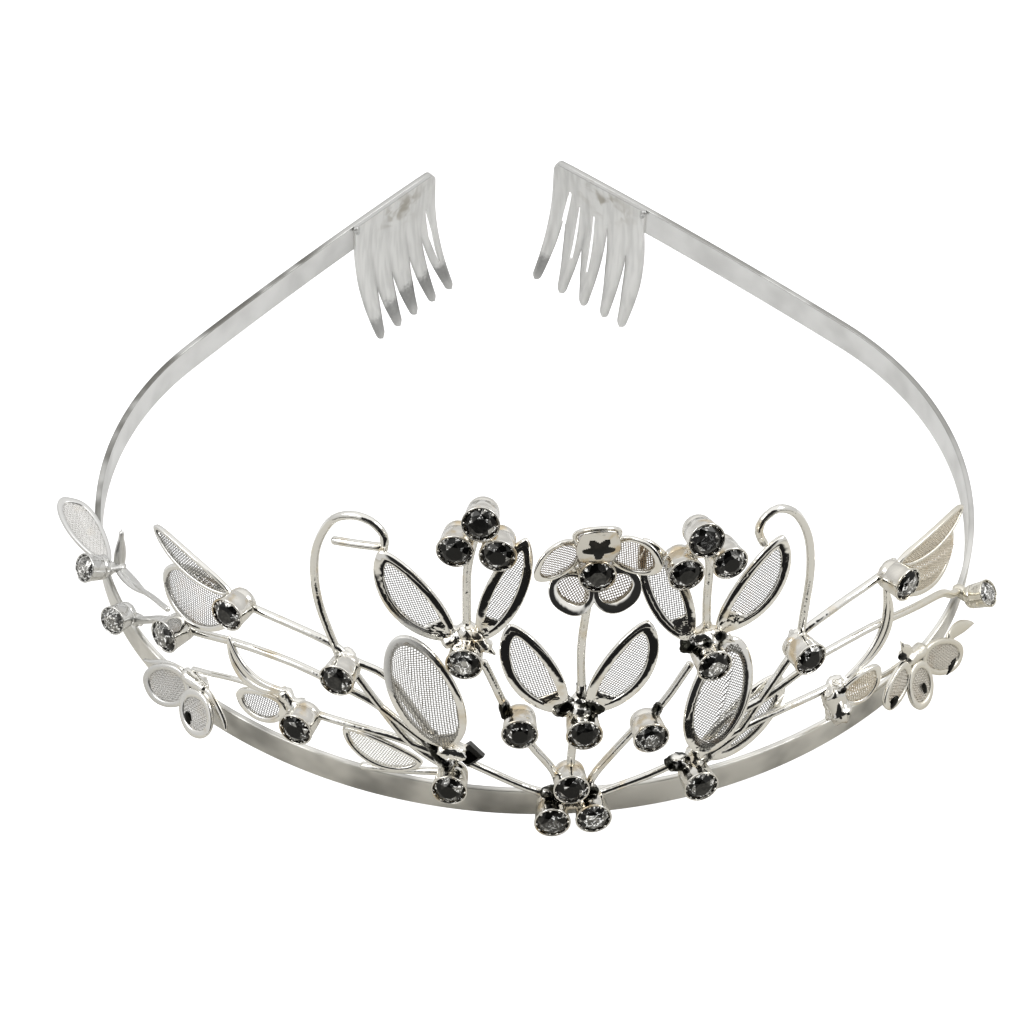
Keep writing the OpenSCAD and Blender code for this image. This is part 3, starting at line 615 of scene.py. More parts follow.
@dataclass(frozen=True)
class Leaf:
    """A leaf or petal on the wall: its ends, widths and how it is bent."""

    base: Place
    tip: Place
    left: float
    right: float
    point: float
    bend: float = 0.0
    bow: float = 0.0
    roll: float = 0.0
    widest: float = 1.0
    puff: float = 0.0
    creases: int = 0
    heel: float = 0.24
    rim_width: float = 1.45

    @property
    def length(self) -> float:
        """Distance from base to tip."""
        return (Vector(self.tip) - Vector(self.base)).length

    def place(self, t: float, w: float, lift: float) -> Place:
        """Place on the wall of a point of the leaf.

        Args:
            t: Share of the way from base to tip.
            w: Distance sideways, to the right positive.
            lift: Distance out of the leaf's own face.

        Returns:
            The place: along, height and out.
        """
        run = Vector((self.tip[0] - self.base[0], self.tip[1] - self.base[1]))
        a = run.normalized()
        roll = math.radians(self.roll)
        arch = 4.0 * t * (1.0 - t)
        side = w * math.cos(roll) - lift * math.sin(roll) + self.bend * arch
        out = w * math.sin(roll) + lift * math.cos(roll) + self.bow * arch
        return (self.base[0] + run.x * t + a.y * side,
                self.base[1] + run.y * t - a.x * side,
                self.base[2] + (self.tip[2] - self.base[2]) * t + out)

    def edge(self, a: float, inset: float) -> tuple[float, float]:
        """Point of the outline.

        Args:
            a: Angle round the outline: 0 at the base, half a turn at the tip.
            inset: How far inside the outline.

        Returns:
            Share of the length, and distance sideways.
        """
        ends = inset * 1.4 / self.length
        t = ends + (1.0 - 2.0 * ends) * ((1.0 - math.cos(a)) / 2.0) ** self.widest
        half = self.right if math.sin(a) > 0 else -self.left
        shrink = max(0.0, 1.0 - inset / abs(half))
        return t, half * shrink * abs(math.sin(a)) ** self.point

    def half_width(self, t: float, right: bool, inset: float) -> float:
        """Half width at a share of the length, on one side.

        Args:
            t: Share of the way from base to tip.
            right: Whether it is the right side.
            inset: How far inside the outline.

        Returns:
            The half width.
        """
        ends = inset * 1.4 / self.length
        u = (t - ends) / (1.0 - 2.0 * ends)
        if not 0.0 < u < 1.0:
            return 0.0
        c = u ** (1.0 / self.widest)
        half = self.right if right else self.left
        return max(0.0, half - inset) * (2.0 * math.sqrt(c * (1.0 - c))) ** self.point

    def holds(self, t: float, w: float, inset: float) -> bool:
        """Whether a point lies inside the outline."""
        return abs(w) < self.half_width(t, w > 0, inset)

    def ruck(self, t: float, w: float) -> float:
        """How far the gauze stands out of the leaf's face: its bulge and its sharp creases.

        Args:
            t: Share of the way from base to tip.
            w: Distance sideways.

        Returns:
            The lift in millimetres.
        """
        half = max(0.1, self.half_width(min(0.97, max(0.03, t)), w > 0, 0.5))
        across = min(1.0, abs(w) / half)
        lift = self.puff * (1.0 - across * across)
        for k in range(self.creases):
            line = half * (2.0 * (k + 1) / (self.creases + 1) - 1.0)
            lift += 0.34 * min(1.0, half / 3.0) ** 2 * math.exp(-((w - line) / 0.22) ** 2)
        return lift


@dataclass(frozen=True)
class Cup:
    """A stone's cup on the wall: where its face is and how it is turned."""

    along: float
    height: float
    yaw: float = 0.0
    pitch: float = 0.0
    out: float = 5.5
    size: float = 1.0
    worn: bool = False

    def frame(self) -> Matrix:
        """The cup's own axes, with Z out of its face.

        Returns:
            The matrix of those axes.
        """
        s = self.along
        z = (WALL.out(s) + WALL.along(s) * math.tan(math.radians(self.yaw))
             + WALL.up(s) * math.tan(math.radians(self.pitch))).normalized()
        x = WALL.up(s).cross(z).normalized()
        y = z.cross(x)
        m = Matrix((x * self.size, y * self.size, z * self.size)).transposed().to_4x4()
        m.translation = WALL.at((self.along, self.height, self.out))
        return m


def petal(cup: Cup, angle: float, to: float, half: float, out: float, rim: float) -> Leaf:
    """A petal that stands out round the top flower's stone.

    Args:
        cup: The flower's cup.
        angle: Direction of the petal on the wall, in degrees.
        to: Distance of its tip from the centre.
        half: Half its width.
        out: Distance of its tip out from the wall.
        rim: Width of its rim.

    Returns:
        The petal.
    """
    root = 1.8
    c, s = math.cos(math.radians(angle)), math.sin(math.radians(angle))
    return Leaf((cup.along + root * c, cup.height + root * s, 2.0),
                (cup.along + to * c, cup.height + to * s, out),
                half, half, 0.85, 0.0, -0.4, 0.0, 0.8, heel=0.0, rim_width=rim)


# Mesh work

def bent_run(points: list[Place], gap: float) -> list[Place]:
    """A smooth run through places on the wall.

    Args:
        points: The places that it goes through.
        gap: Distance between the places returned.

    Returns:
        Places along the run.
    """
    q = [Vector(p) for p in points]
    q = [2 * q[0] - q[1], *q, 2 * q[-1] - q[-2]]
    run = []
    for a, b, c, d in zip(q, q[1:], q[2:], q[3:]):
        n = max(1, round((c - b).length / gap))
        for k in range(n):
            t = k / n
            run.append(tuple(0.5 * (2 * b + (c - a) * t + (2 * a - 5 * b + 4 * c - d) * t * t
                                    + (3 * b - a - 3 * c + d) * t ** 3)))
    run.append(tuple(q[-2]))
    return run


def stand(origin: Vector, tangent: Vector, out: Vector, width: float, depth: float) -> Matrix:
    """Where a section stands on its path.

    Args:
        origin: Centre of the section.
        tangent: Direction of the path.
        out: Rough direction of the section's depth.
        width: Half width of the section.
        depth: Half depth of the section.

    Returns:
        The matrix that sets a unit section there.
    """
    t = tangent.normalized()
    x = t.cross(out).normalized()
    y = x.cross(t)
    m = Matrix((x * width, -y * depth, t)).transposed().to_4x4()
    m.translation = origin
    return m


CUP_PROFILE = [
    (0.0, -4.2), (1.7, -4.2), (1.95, -4.05), (2.06, -3.7), (2.12, -3.1), (2.06, -3.0), (2.05, -2.9),
    (2.08, -2.8), (2.16, -2.7), (2.28, -1.2), (2.36, -0.5), (2.45, -0.3), (2.47, -0.12),
    (2.42, -0.02), (2.32, 0.0), (2.24, -0.06), (2.2, -0.3), (2.2, -1.6), (0.0, -1.9)]
STONE_RINGS = ((8, 1.1, 0.42, 0.5), (8, 1.58, 0.2, 0.0), (16, 2.05, -0.3, 0.0),
               (16, 2.05, -0.5, 0.0), (8, 1.1, -1.15, 0.0))
STONE_FOOT = (0.0, 0.0, -1.7)
# Powers of the stones' painted glints by distance along the band: stones far to the sides get
# lighter facets, painted light.
STONE_DIMNESS = ((52.0, 4.0), (62.0, 1.4), (math.inf, 0.5))


Thing = TypeVar("Thing")


def once(things: Iterable[Thing]) -> list[Thing]:
    """Each thing once, in the order in which it first comes."""
    return list(dict.fromkeys(things))


def faces_of(verts: Iterable[bmesh.types.BMVert]) -> list[bmesh.types.BMFace]:
    """The faces round the vertices that are still there."""
    return once(f for v in verts if v.is_valid for f in v.link_faces)


class Metalwork:
    """A piece under way, in millimetres on the level band, built part by part."""

    turn_mm = 69.0
    wire_gap = 0.9
    spike_gap = 0.7
    spike_thin = 0.32
    spot_thick = 0.35
    shield_half = 3.0
    shield_dome = 0.6
    shield_thick = 0.35
    nugget_flat = 0.8
    solder_end = 0.9
    solder_lump = 0.26
    rim_depth = 0.7
    rim_steps = 64
    heel_depth = 0.85
    heel_steps = 12
    heel_lump = 0.16
    lip_radius = 2.1
    lip_grains = 10
    grain_radii = (0.1, 0.2)
    gauze_inset = 0.55
    seam_mm = 1e-3
    axis_mm = 1e-4

    def __init__(self, finishes: list[Finish]) -> None:
        """Starts an empty piece in some finishes."""
        self.bm = bmesh.new()
        self.finishes = finishes

    def _paint(self, faces: list[bmesh.types.BMFace], finish: Finish, smooth: bool = True) -> None:
        """Gives new faces their finish.

        Args:
            faces: The new faces.
            finish: Their finish.
            smooth: Whether they are shaded smooth.
        """
        for face in faces:
            face.material_index = self.finishes.index(finish)
            face.smooth = smooth

    def _ball(self, place: Matrix, across: int, rings: int, radius: float,
              finish: Finish) -> None:
        """Adds a round or squashed ball.

        Args:
            place: Where it lies, and its squash.
            across: How many faces go round it.
            rings: How many rings it has.
            radius: Its radius before the squash.
            finish: Its finish.
        """
        ball = bmesh.ops.create_uvsphere(self.bm, u_segments=across, v_segments=rings,
                                         radius=radius, matrix=place)["verts"]
        self._paint(faces_of(ball), finish)

    @staticmethod
    def _path(points: list[Place], gap: float) -> list[tuple[Place, Vector, Vector]]:
        """Places, points and directions along a run on the wall.

        Args:
            points: Places that the run goes through.
            gap: Distance between stations.

        Returns:
            For each station its place on the wall, its point and its direction.
        """
        run = bent_run(points, gap)
        path = [WALL.at(q) for q in run]
        last = len(path) - 1
        return [(q, p, path[min(i + 1, last)] - path[max(i - 1, 0)])
                for i, (q, p) in enumerate(zip(run, path))]

    def nugget(self, at: Place, size: float) -> None:
        """Adds a hard-edged diamond of solder, turned to the front, painted black: a painted dark
        reflection.

        Args:
            at: Centre of the lump.
            size: Half its width.
        """
        centre, out = WALL.at(at), WALL.out(at[0])
        way = (out + WALL.up(at[0]) * 0.4).normalized()
        stations = [stand(centre + way * (size * x), way, WALL.up(at[0]), size * r,
                          size * r * self.nugget_flat)
                    for x, r in ((-0.7, 0.6), (-0.45, 1.0), (0.2, 0.95), (0.5, 0.62))]
        # Its flat faces are painted black: painted dark reflection.
        faces = self.draw(stations, Finish.SPOT, 4)
        self._paint(faces, Finish.SPOT, smooth=False)

    def spot(self, at: Place, width: float, height: float, lean: float) -> None:
        """Lays a dark oval on the metal.

        Args:
            at: Its centre.
            width: Half its width.
            height: Half its height.
            lean: Its turn on the wall, in degrees.
        """
        m = Matrix((WALL.along(at[0]), WALL.up(at[0]), WALL.out(at[0]))).transposed().to_4x4()
        m.translation = WALL.at(at)
        turn = Matrix.Rotation(math.radians(lean), 4, "Z")
        oval = turn @ Matrix.Diagonal((width, height, self.spot_thick, 1.0))
        self._ball(m @ oval, 16, 10, 1.0, Finish.SPOT)

    def spike(self, first: Bead, second: Bead) -> None:
        """Draws a flat pointed leaf of metal.

        Args:
            first: Two places at its foot, and its half width there.
            second: Two places at its point, and its half width there.
        """
        path = self._path([first[0], first[1], second[0], second[1]], self.spike_gap)
        stations = []
        for i, (place, p, tangent) in enumerate(path):
            t = i / (len(path) - 1)
            half = (first[2] + (second[2] - first[2]) * t) * (1.0 + 0.5 * math.sin(math.pi * t))
            half *= math.sqrt(max(0.02, 1.0 - t ** 3))
            turned = abs(place[0]) > self.turn_mm
            wide, thick = (self.spike_thin, half) if turned else (half, self.spike_thin)
            stations.append(stand(p, tangent, WALL.out(place[0]), wide, thick))
        self.draw(stations, Finish.RIM, 12)

    def shield(self, low: Place, high: Place) -> None:
        """Adds a domed plate on the wall, with a star of painted dark reflection on it.

        Args:
            low: Middle of its lower edge.
            high: Middle of its upper edge.
        """
        bm, half = self.bm, self.shield_half
        grid = bmesh.ops.create_grid(bm, x_segments=44, y_segments=36, size=1.0)["verts"]
        faces = faces_of(grid)
        dark = [f for f in faces if self._in_star(f.calc_center_median())]
        for v in grid:
            x, y = v.co.x, v.co.y
            t = (y + 1.0) / 2.0
            place = Vector(low).lerp(Vector(high), t)
            narrow = half * (0.72 + 0.28 * math.sin(math.pi * min(1.0, t * 0.9 + 0.1)))
            place += Vector((x * narrow, 0.18 * half * (1 - x * x) * (2 * t - 1),
                             self.shield_dome * (1 - x * x) * (1.0 - 0.6 * y * y)))
            v.co = WALL.at(tuple(place))
        bmesh.ops.recalc_face_normals(bm, faces=faces)
        bmesh.ops.solidify(bm, geom=faces, thickness=self.shield_thick)
        faces = faces_of(self._grown(grid))
        bmesh.ops.recalc_face_normals(bm, faces=faces)
        self._paint(faces, Finish.CUP)
        # The star's faces are painted black: painted dark reflection.
        self._paint([f for f in dark if f.is_valid], Finish.SPOT)

    @staticmethod
    def _in_star(p: Vector) -> bool:
        """Whether a point of the plate lies in its star of painted dark reflection."""
        x, y = p.x / 0.78, (p.y - 0.02) / 0.66
        return math.hypot(x, y) < 0.78 + 0.22 * math.cos(5.0 * math.atan2(y, x) + 0.5 * math.pi)

    def draw(self, stations: list[Matrix], finish: Finish, sides: int, square: float = 1.0,
             closed: bool = False) -> list[bmesh.types.BMFace]:
        """Draws a round or squarish section along a path.

        Args:
            stations: Where the section stands on its way.
            finish: The finish of the part.
            sides: How many points the section has.
            square: 1 for an ellipse, less for a flatter section with rounded corners.
            closed: Whether the path comes back to its start.

        Returns:
            The new faces.
        """
        bm = self.bm
        ring = bmesh.ops.create_circle(bm, segments=sides, radius=1.0)["verts"]
        for v in ring:
            v.co = Vector([math.copysign(abs(c) ** square, c) for c in v.co.xy] + [0.0])
        bmesh.ops.transform(bm, matrix=stations[0], verts=ring)
        edges = once(e for v in ring for e in v.link_edges)
        first, faces, verts = edges, [], list(ring)
        for here, there in zip(stations, stations[1:]):
            out = bmesh.ops.extrude_edge_only(bm, edges=edges)["geom"]
            ring = [g for g in out if isinstance(g, bmesh.types.BMVert)]
            edges = [g for g in out if isinstance(g, bmesh.types.BMEdge)
                     and all(v in set(ring) for v in g.verts)]
            faces += [g for g in out if isinstance(g, bmesh.types.BMFace)]
            bmesh.ops.transform(bm, matrix=there @ here.inverted(), verts=ring)
            verts += ring
        if closed:
            bmesh.ops.remove_doubles(bm, verts=verts, dist=self.seam_mm)
        else:
            for loop in (first, edges):
                faces += bmesh.ops.edgeloop_fill(bm, edges=loop)["faces"]
        faces = [f for f in faces if f.is_valid]
        bmesh.ops.recalc_face_normals(bm, faces=faces)
        bm.normal_update()
        self._paint(faces, finish)
        return faces

    def wire(self, points: list[Place], radius: float) -> None:
        """Draws a round wire with rounded ends along a run on the wall.

        Args:
            points: Places that the wire goes through.
            radius: The wire's radius.
        """
        path = self._path(points, self.wire_gap)
        stations = [stand(p, tangent, WALL.out(q[0]), radius, radius) for q, p, tangent in path]
        start, end = ([*self._nose(p, tangent, WALL.out(q[0]), radius, way)]
                      for (q, p, tangent), way in ((path[0], -1.0), (path[-1], 1.0)))
        self.draw(start[::-1] + stations + end, Finish.WIRE, 12)

    @staticmethod
    def _nose(p: Vector, tangent: Vector, out: Vector, radius: float, way: float) -> list[Matrix]:
        """Stations of a rounded end.

        Args:
            p: Where the wire ends.
            tangent: Direction of the wire.
            out: Direction out of the wall.
            radius: Radius of the wire.
            way: -1 at its start and 1 at its end.

        Returns:
            The stations.
        """
        t = tangent.normalized()
        return [stand(p + t * (way * radius * 0.7 * math.sin(a)), tangent, out,
                      radius * math.cos(a), radius * math.cos(a))
                for a in (0.5, 1.0, 1.45)]

    def solder(self, a: Place, b: Place, radius: float,
               finish: Finish = Finish.SOLDER) -> None:
        """Adds a lump of solder between two places.

        Args:
            a: First place.
            b: Second place.
            radius: Radius at the first place.
            finish: The lump's finish.
        """
        p, q = WALL.at(a), WALL.at(b)
        way = (q - p).normalized() if (q - p).length > 1e-3 else Vector((1.0, 0.0, 0.0))
        out = WALL.out(a[0])
        turns = [math.radians(k) for k in (88, 70, 52, 34, 17)]
        far = radius * self.solder_end
        stations = [stand(p - way * (radius * math.sin(k)), way, out, radius * math.cos(k),
                          radius * math.cos(k)) for k in turns]
        stations += [stand(p + (q - p) * k, way, out, radius + (far - radius) * k,
                           radius + (far - radius) * k) for k in (0.0, 0.5, 1.0)]
        stations += [stand(q + way * (far * math.sin(k)), way, out, far * math.cos(k),
                           far * math.cos(k)) for k in reversed(turns)]
        faces = self.draw(stations, finish, 18)
        for v in once(v for f in faces for v in f.verts):
            lump = noise.noise(v.co * 0.9) + 0.7 * noise.noise(v.co * 1.9)
            v.co += v.normal * (self.solder_lump * radius * lump - 0.05 * radius)

    def rim(self, leaf: Leaf) -> None:
        """Draws the polished rim round a leaf.

        Args:
            leaf: The leaf.
        """
        n = self.rim_steps
        stations = [self._rim_station(leaf, 2.0 * math.pi * (i % n) / n) for i in range(n + 1)]
        self.draw(stations, Finish.RIM, 12, 0.5, closed=True)

    def heel(self, leaf: Leaf) -> None:
        """Fills the foot of a leaf, where its rims run together, with a lumpy web.

        Args:
            leaf: The leaf.
        """
        stations, n = [], self.heel_steps
        for k in range(n + 1):
            t = -0.04 + (leaf.heel + 0.04) * k / n
            right, left = (max(0.45, leaf.half_width(t, way, 0.0) - 0.2) for way in (True, False))
            middle = (right - left) / 2.0
            centre = WALL.at(leaf.place(t, middle, 0.0))
            ahead = WALL.at(leaf.place(t + 0.01, middle, 0.0)) - centre
            lift = WALL.at(leaf.place(t, middle, 0.1)) - centre
            swell = math.sqrt(max(0.04, 1.0 - (k / n) ** 3))
            stations.append(stand(centre, ahead, lift, (right + left) / 2.0,
                                  self.heel_depth / 2.0 * swell))
        faces = self.draw(stations, Finish.SOLDER, 16, 0.7)
        for v in once(v for f in faces for v in f.verts):
            v.co += v.normal * (self.heel_lump * noise.noise(v.co * 1.2))

    def _rim_station(self, leaf: Leaf, a: float) -> Matrix:
        """Where the rim's section stands at an angle round the leaf.

        Args:
            leaf: The leaf.
            a: Angle round its outline.

        Returns:
            The matrix of the rim's section there.
        """
        def point(angle: float, inset: float, lift: float) -> Vector:
            """Point of the leaf in space."""
            t, w = leaf.edge(angle, inset)
            return WALL.at(leaf.place(t, w, lift))
        width = leaf.rim_width
        outer, inner = point(a, 0.0, 0.0), point(a, width, 0.0)
        centre = (outer + inner) / 2.0
        across = outer - inner
        lift = point(a, width / 2, 0.1) - point(a, width / 2, -0.1)
        tangent = across.cross(lift).normalized()
        thick = lift.normalized() * self.rim_depth / 2.0
        m = Matrix((across / 2.0, thick, tangent)).transposed().to_4x4()
        m.translation = centre
        return m

    def cup(self, cup: Cup) -> None:
        """Turns a stone's cup: a flared wall, a grooved foot, a rounded lip with grains.

        Args:
            cup: Where the cup stands.
        """
        made = self.lathe(CUP_PROFILE, cup.frame(), 32, Finish.CUP)
        if cup.worn:
            for v in made:
                v.co += v.normal * (0.4 * noise.noise(v.co * 1.1) + 0.3 * noise.noise(v.co * 2.6))
            return
        draw = random.Random(int(cup.along * 10))
        for k in range(self.lip_grains):
            a = 2.0 * math.pi * (k + draw.uniform(-0.3, 0.3)) / self.lip_grains
            spot = Matrix.Translation((self.lip_radius * math.cos(a), self.lip_radius * math.sin(a),
                                       -0.1))
            self._ball(cup.frame() @ spot, 6, 4, draw.uniform(*self.grain_radii), Finish.RIM)

    def lathe(self, profile: list[tuple[float, float]], place: Matrix, steps: int,
              finish: Finish) -> list[bmesh.types.BMVert]:
        """Turns a profile of radius and height about Z.

        Args:
            profile: Radius and height of each point, from axis to axis.
            place: Where the turned shape goes.
            steps: Steps of the full turn.
            finish: Its finish.

        Returns:
            The new vertices.
        """
        bm = self.bm
        verts = [bm.verts.new((r, 0.0, z)) for r, z in profile]
        edges = [bm.edges.new(pair) for pair in zip(verts, verts[1:])]
        bmesh.ops.spin(bm, geom=verts + edges, cent=(0, 0, 0), axis=(0, 0, 1), dvec=(0, 0, 0),
                       angle=2.0 * math.pi, steps=steps, use_merge=True)
        grown = self._grown(verts[1:])
        bmesh.ops.remove_doubles(bm, verts=grown, dist=self.axis_mm)
        grown = self._grown(grown)
        faces = faces_of(grown)
        bmesh.ops.recalc_face_normals(bm, faces=faces)
        bmesh.ops.transform(bm, matrix=place, verts=grown)
        for v in grown:
            v.normal_update()
        self._paint(faces, finish)
        return grown

    @staticmethod
    def _grown(seeds: list[bmesh.types.BMVert]) -> list[bmesh.types.BMVert]:
        """All vertices joined to the first of some that is still there.

        Args:
            seeds: The vertices to start from.

        Returns:
            The joined vertices.
        """
        grown = [next(v for v in seeds if v.is_valid)]
        seen = set(grown)
        for vert in grown:
            near = [v for e in vert.link_edges for v in e.verts if v not in seen]
            grown += near
            seen.update(near)
        return grown

    def stone(self, cup: Cup, seed: int) -> None:
        """Cuts a round stone: table, star and kite facets, girdle and pavilion.

        Args:
            cup: The cup that holds the stone.
            seed: Seed of the facets' painted glints.
        """
        bm = self.bm
        verts = [bm.verts.new(STONE_FOOT)]
        for sides, radius, z, turn in STONE_RINGS:
            lay = Matrix.Translation((0, 0, z)) @ Matrix.Rotation(2 * math.pi * turn / 8, 4, "Z")
            verts += bmesh.ops.create_circle(bm, segments=sides, radius=radius, matrix=lay)["verts"]
        bmesh.ops.delete(bm, geom=once(e for v in verts for e in v.link_edges),
                         context="EDGES_FACES")
        verts = [v for v in verts if v.is_valid]
        bmesh.ops.convex_hull(bm, input=verts, use_existing_faces=False)
        faces = faces_of(verts)
        bmesh.ops.dissolve_limit(bm, angle_limit=0.02, verts=[v for v in verts if v.is_valid],
                                 edges=once(e for f in faces for e in f.edges))
        bmesh.ops.recalc_face_normals(bm, faces=faces_of(verts))
        painted_glint = bm.faces.layers.float.get("painted_glint") or bm.faces.layers.float.new("painted_glint")
        faces = faces_of(verts)
        faces.sort(key=lambda f: tuple(round(c, 3) for c in f.calc_center_median()))
        draw = random.Random(seed)
        # Stones further to the sides get lighter painted facets: painted light.
        dimness = next(power for reach, power in STONE_DIMNESS if abs(cup.along) < reach)
        for f in faces:
            f[painted_glint] = draw.random() ** dimness
        bmesh.ops.transform(bm, matrix=cup.frame(), verts=[v for v in verts if v.is_valid])
        self._paint(faces, Finish.STONE, smooth=False)

    def weave(self, leaf: Leaf, pitch: float, radius: float, turn: float) -> None:
        """Weaves the gauze of a leaf from two sets of strands that pass over and under.

        Args:
            leaf: The leaf.
            pitch: Distance between strands.
            radius: Radius of a strand.
            turn: Angle of the weave on the leaf, in radians.
        """
        reach = leaf.length / 2.0 + max(leaf.left, leaf.right)
        count = int(reach / pitch)
        for way in (0, 1):
            a = turn + way * math.pi / 2.0
            run = Vector((math.cos(a), math.sin(a)))
            step = Vector((-run.y, run.x))
            for k in range(-count, count + 1):
                self._strand(leaf, run, step * (k + 0.5) * pitch, count, pitch, radius,
                             1.0 if (k + way) % 2 else -1.0)

    def _strand(self, leaf: Leaf, run: Vector, start: Vector, count: int, pitch: float,
                radius: float, phase: float) -> None:
        """Lays one strand of the gauze between the rims.

        Args:
            leaf: The leaf.
            run: Direction of the strand on the leaf.
            start: Its middle.
            count: How many crossings it has on each side of the middle at most.
            pitch: Distance between crossings.
            radius: Its radius.
            phase: 1 or -1, for over or under at the first crossing.
        """
        length = leaf.length
        knots = [(k, start + run * k * pitch) for k in range(-count, count + 1)]
        inside = [k for k, q in knots if leaf.holds(q.x / length + 0.5, q.y, self.gauze_inset)]
        if len(inside) < 2:
            return
        low, high = (inside[0] - 0.4) * pitch, (inside[-1] + 0.4) * pitch
        bm = self.bm
        laid = len(bm.verts)
        bar = bmesh.ops.create_cone(bm, cap_ends=True, segments=4, radius1=radius, radius2=radius,
                                    depth=1.0)["verts"]
        edges = [e for e in once(e for v in bar for e in v.link_edges)
                 if abs(e.verts[0].co.z - e.verts[1].co.z) > 0.5]
        bmesh.ops.subdivide_edges(bm, edges=edges, cuts=max(1, len(inside)))
        verts = list(bm.verts)[laid:]
        side = Vector((-run.y, run.x))
        for v in verts:
            r = low + (v.co.z + 0.5) * (high - low)
            wave = phase * math.cos(math.pi * (r / pitch - 0.5)) * radius * 0.9
            flat = start + run * r + side * v.co.x
            t = flat.x / length + 0.5
            v.co = WALL.at(leaf.place(t, flat.y, v.co.y + wave + leaf.ruck(t, flat.y)))
        self._paint(faces_of(verts), self.finishes[0])

    def finish(self, name: str, replaced: str, slot: str) -> None:
        """Sets the piece in the room and hands it over.

        Args:
            name: The piece's name.
            replaced: The solid that it stands for.
            slot: The record's material slot; not used.
        """
        bm = self.bm
        bmesh.ops.transform(bm, matrix=REST, verts=bm.verts)
        mesh = bpy.data.meshes.new(name)
        bm.to_mesh(mesh)
        bm.free()
        for finish in self.finishes:
            mesh.materials.append(finish.material())
        piece = bpy.data.objects.new(name, mesh)
        bpy.context.scene.collection.objects.link(piece)
        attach(piece, BODY)
        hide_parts(replaced)
        log.info("%s: %d faces", name, len(mesh.polygons))


METAL = [Finish.WIRE, Finish.RIM, Finish.CUP, Finish.SOLDER, Finish.SPOT, Finish.FLUX]


@dataclass
class Section:
    """One soldered section of the spray, with its stones and gauze."""

    name: str
    cups: dict[str, Cup] = field(default_factory=dict)
    beads: Sequence[Bead] = ()
    wires: Sequence[list[tuple[float, ...]]] = ()
    thin_wires: Sequence[list[Place]] = ()
    leaves: dict[str, list[Leaf]] = field(default_factory=dict)
    bare_rims: Sequence[Leaf] = ()
    spikes: Sequence[tuple[Bead, Bead]] = ()
    lumps: Sequence[Bead] = ()
    # Lumps are solder with painted dark reflections, unless a section says otherwise.
    lump_finish: Finish = Finish.FLUX
    pale_lumps: Sequence[Bead] = ()
    nuggets: Sequence[tuple[Place, float]] = ()
    spots: Sequence[tuple[Place, float, float, float]] = ()
    shields: Sequence[tuple[Place, Place]] = ()
    cloth: dict[str, Finish] = field(default_factory=dict)
    wire_r: float = 0.575
    wire_out: float = 1.5
    thin_r: float = 0.4
    gauze_pitch: float = 0.34

    def build(self) -> None:
        """Builds the metal, the stones and the gauze."""
        self.build_metal()
        for name, cup in self.cups.items():
            self.build_stone(name, cup)
        for name, leaves in self.leaves.items():
            self.build_gauze(name, leaves)

    def build_metal(self) -> None:
        """Builds wires, rims, cups and solder as one soldered piece."""
        work = Metalwork(METAL)
        for points in self.wires:
            work.wire([(*place, self.wire_out)[:3] for place in points], self.wire_r)
        for points in self.thin_wires:
            work.wire(points, self.thin_r)
        for a, b, radius in self.beads:
            work.solder(a, b, radius)
        for a, b, radius in self.lumps:
            work.solder(a, b, radius, finish=self.lump_finish)
        for a, b, radius in self.pale_lumps:
            work.solder(a, b, radius, finish=Finish.CUP)
        for at, size in self.nuggets:
            work.nugget(at, size)
        for low, high in self.shields:
            work.shield(low, high)
        for first, second in self.spikes:
            work.spike(first, second)
        for at, width, height, lean in self.spots:
            work.spot(at, width, height, lean)
        for cup in self.cups.values():
            work.cup(cup)
        for leaf in [f for group in self.leaves.values() for f in group]:
            work.rim(leaf)
            if leaf.heel:
                work.heel(leaf)
        for leaf in self.bare_rims:
            work.rim(leaf)
        work.finish(f"{self.name}_plated", self.name, "plated_wire")

    def build_stone(self, name: str, cup: Cup) -> None:
        """Cuts the stone of one cup.

        Args:
            name: Name of the cup.
            cup: The cup.
        """
        work = Metalwork([Finish.STONE])
        work.stone(cup, sum(map(ord, name)))
        work.finish(f"stone_{name}_cut", f"stone_{name}", "grey_stone")

    def build_gauze(self, name: str, leaves: list[Leaf]) -> None:
        """Weaves the gauze of one leaf or flower.

        Args:
            name: Name of the gauze.
            leaves: The leaves that it fills.
        """
        cloth = self.cloth.get(name, Finish.GAUZE)
        work = Metalwork([cloth])
        draw = random.Random(sum(map(ord, name)))
        for leaf in leaves:
            work.weave(leaf, self.gauze_pitch, cloth.value.radius_mm, draw.uniform(0.15, 0.5))
        work.finish(f"gauze_{name}_woven", f"gauze_{name}", "metal_gauze")


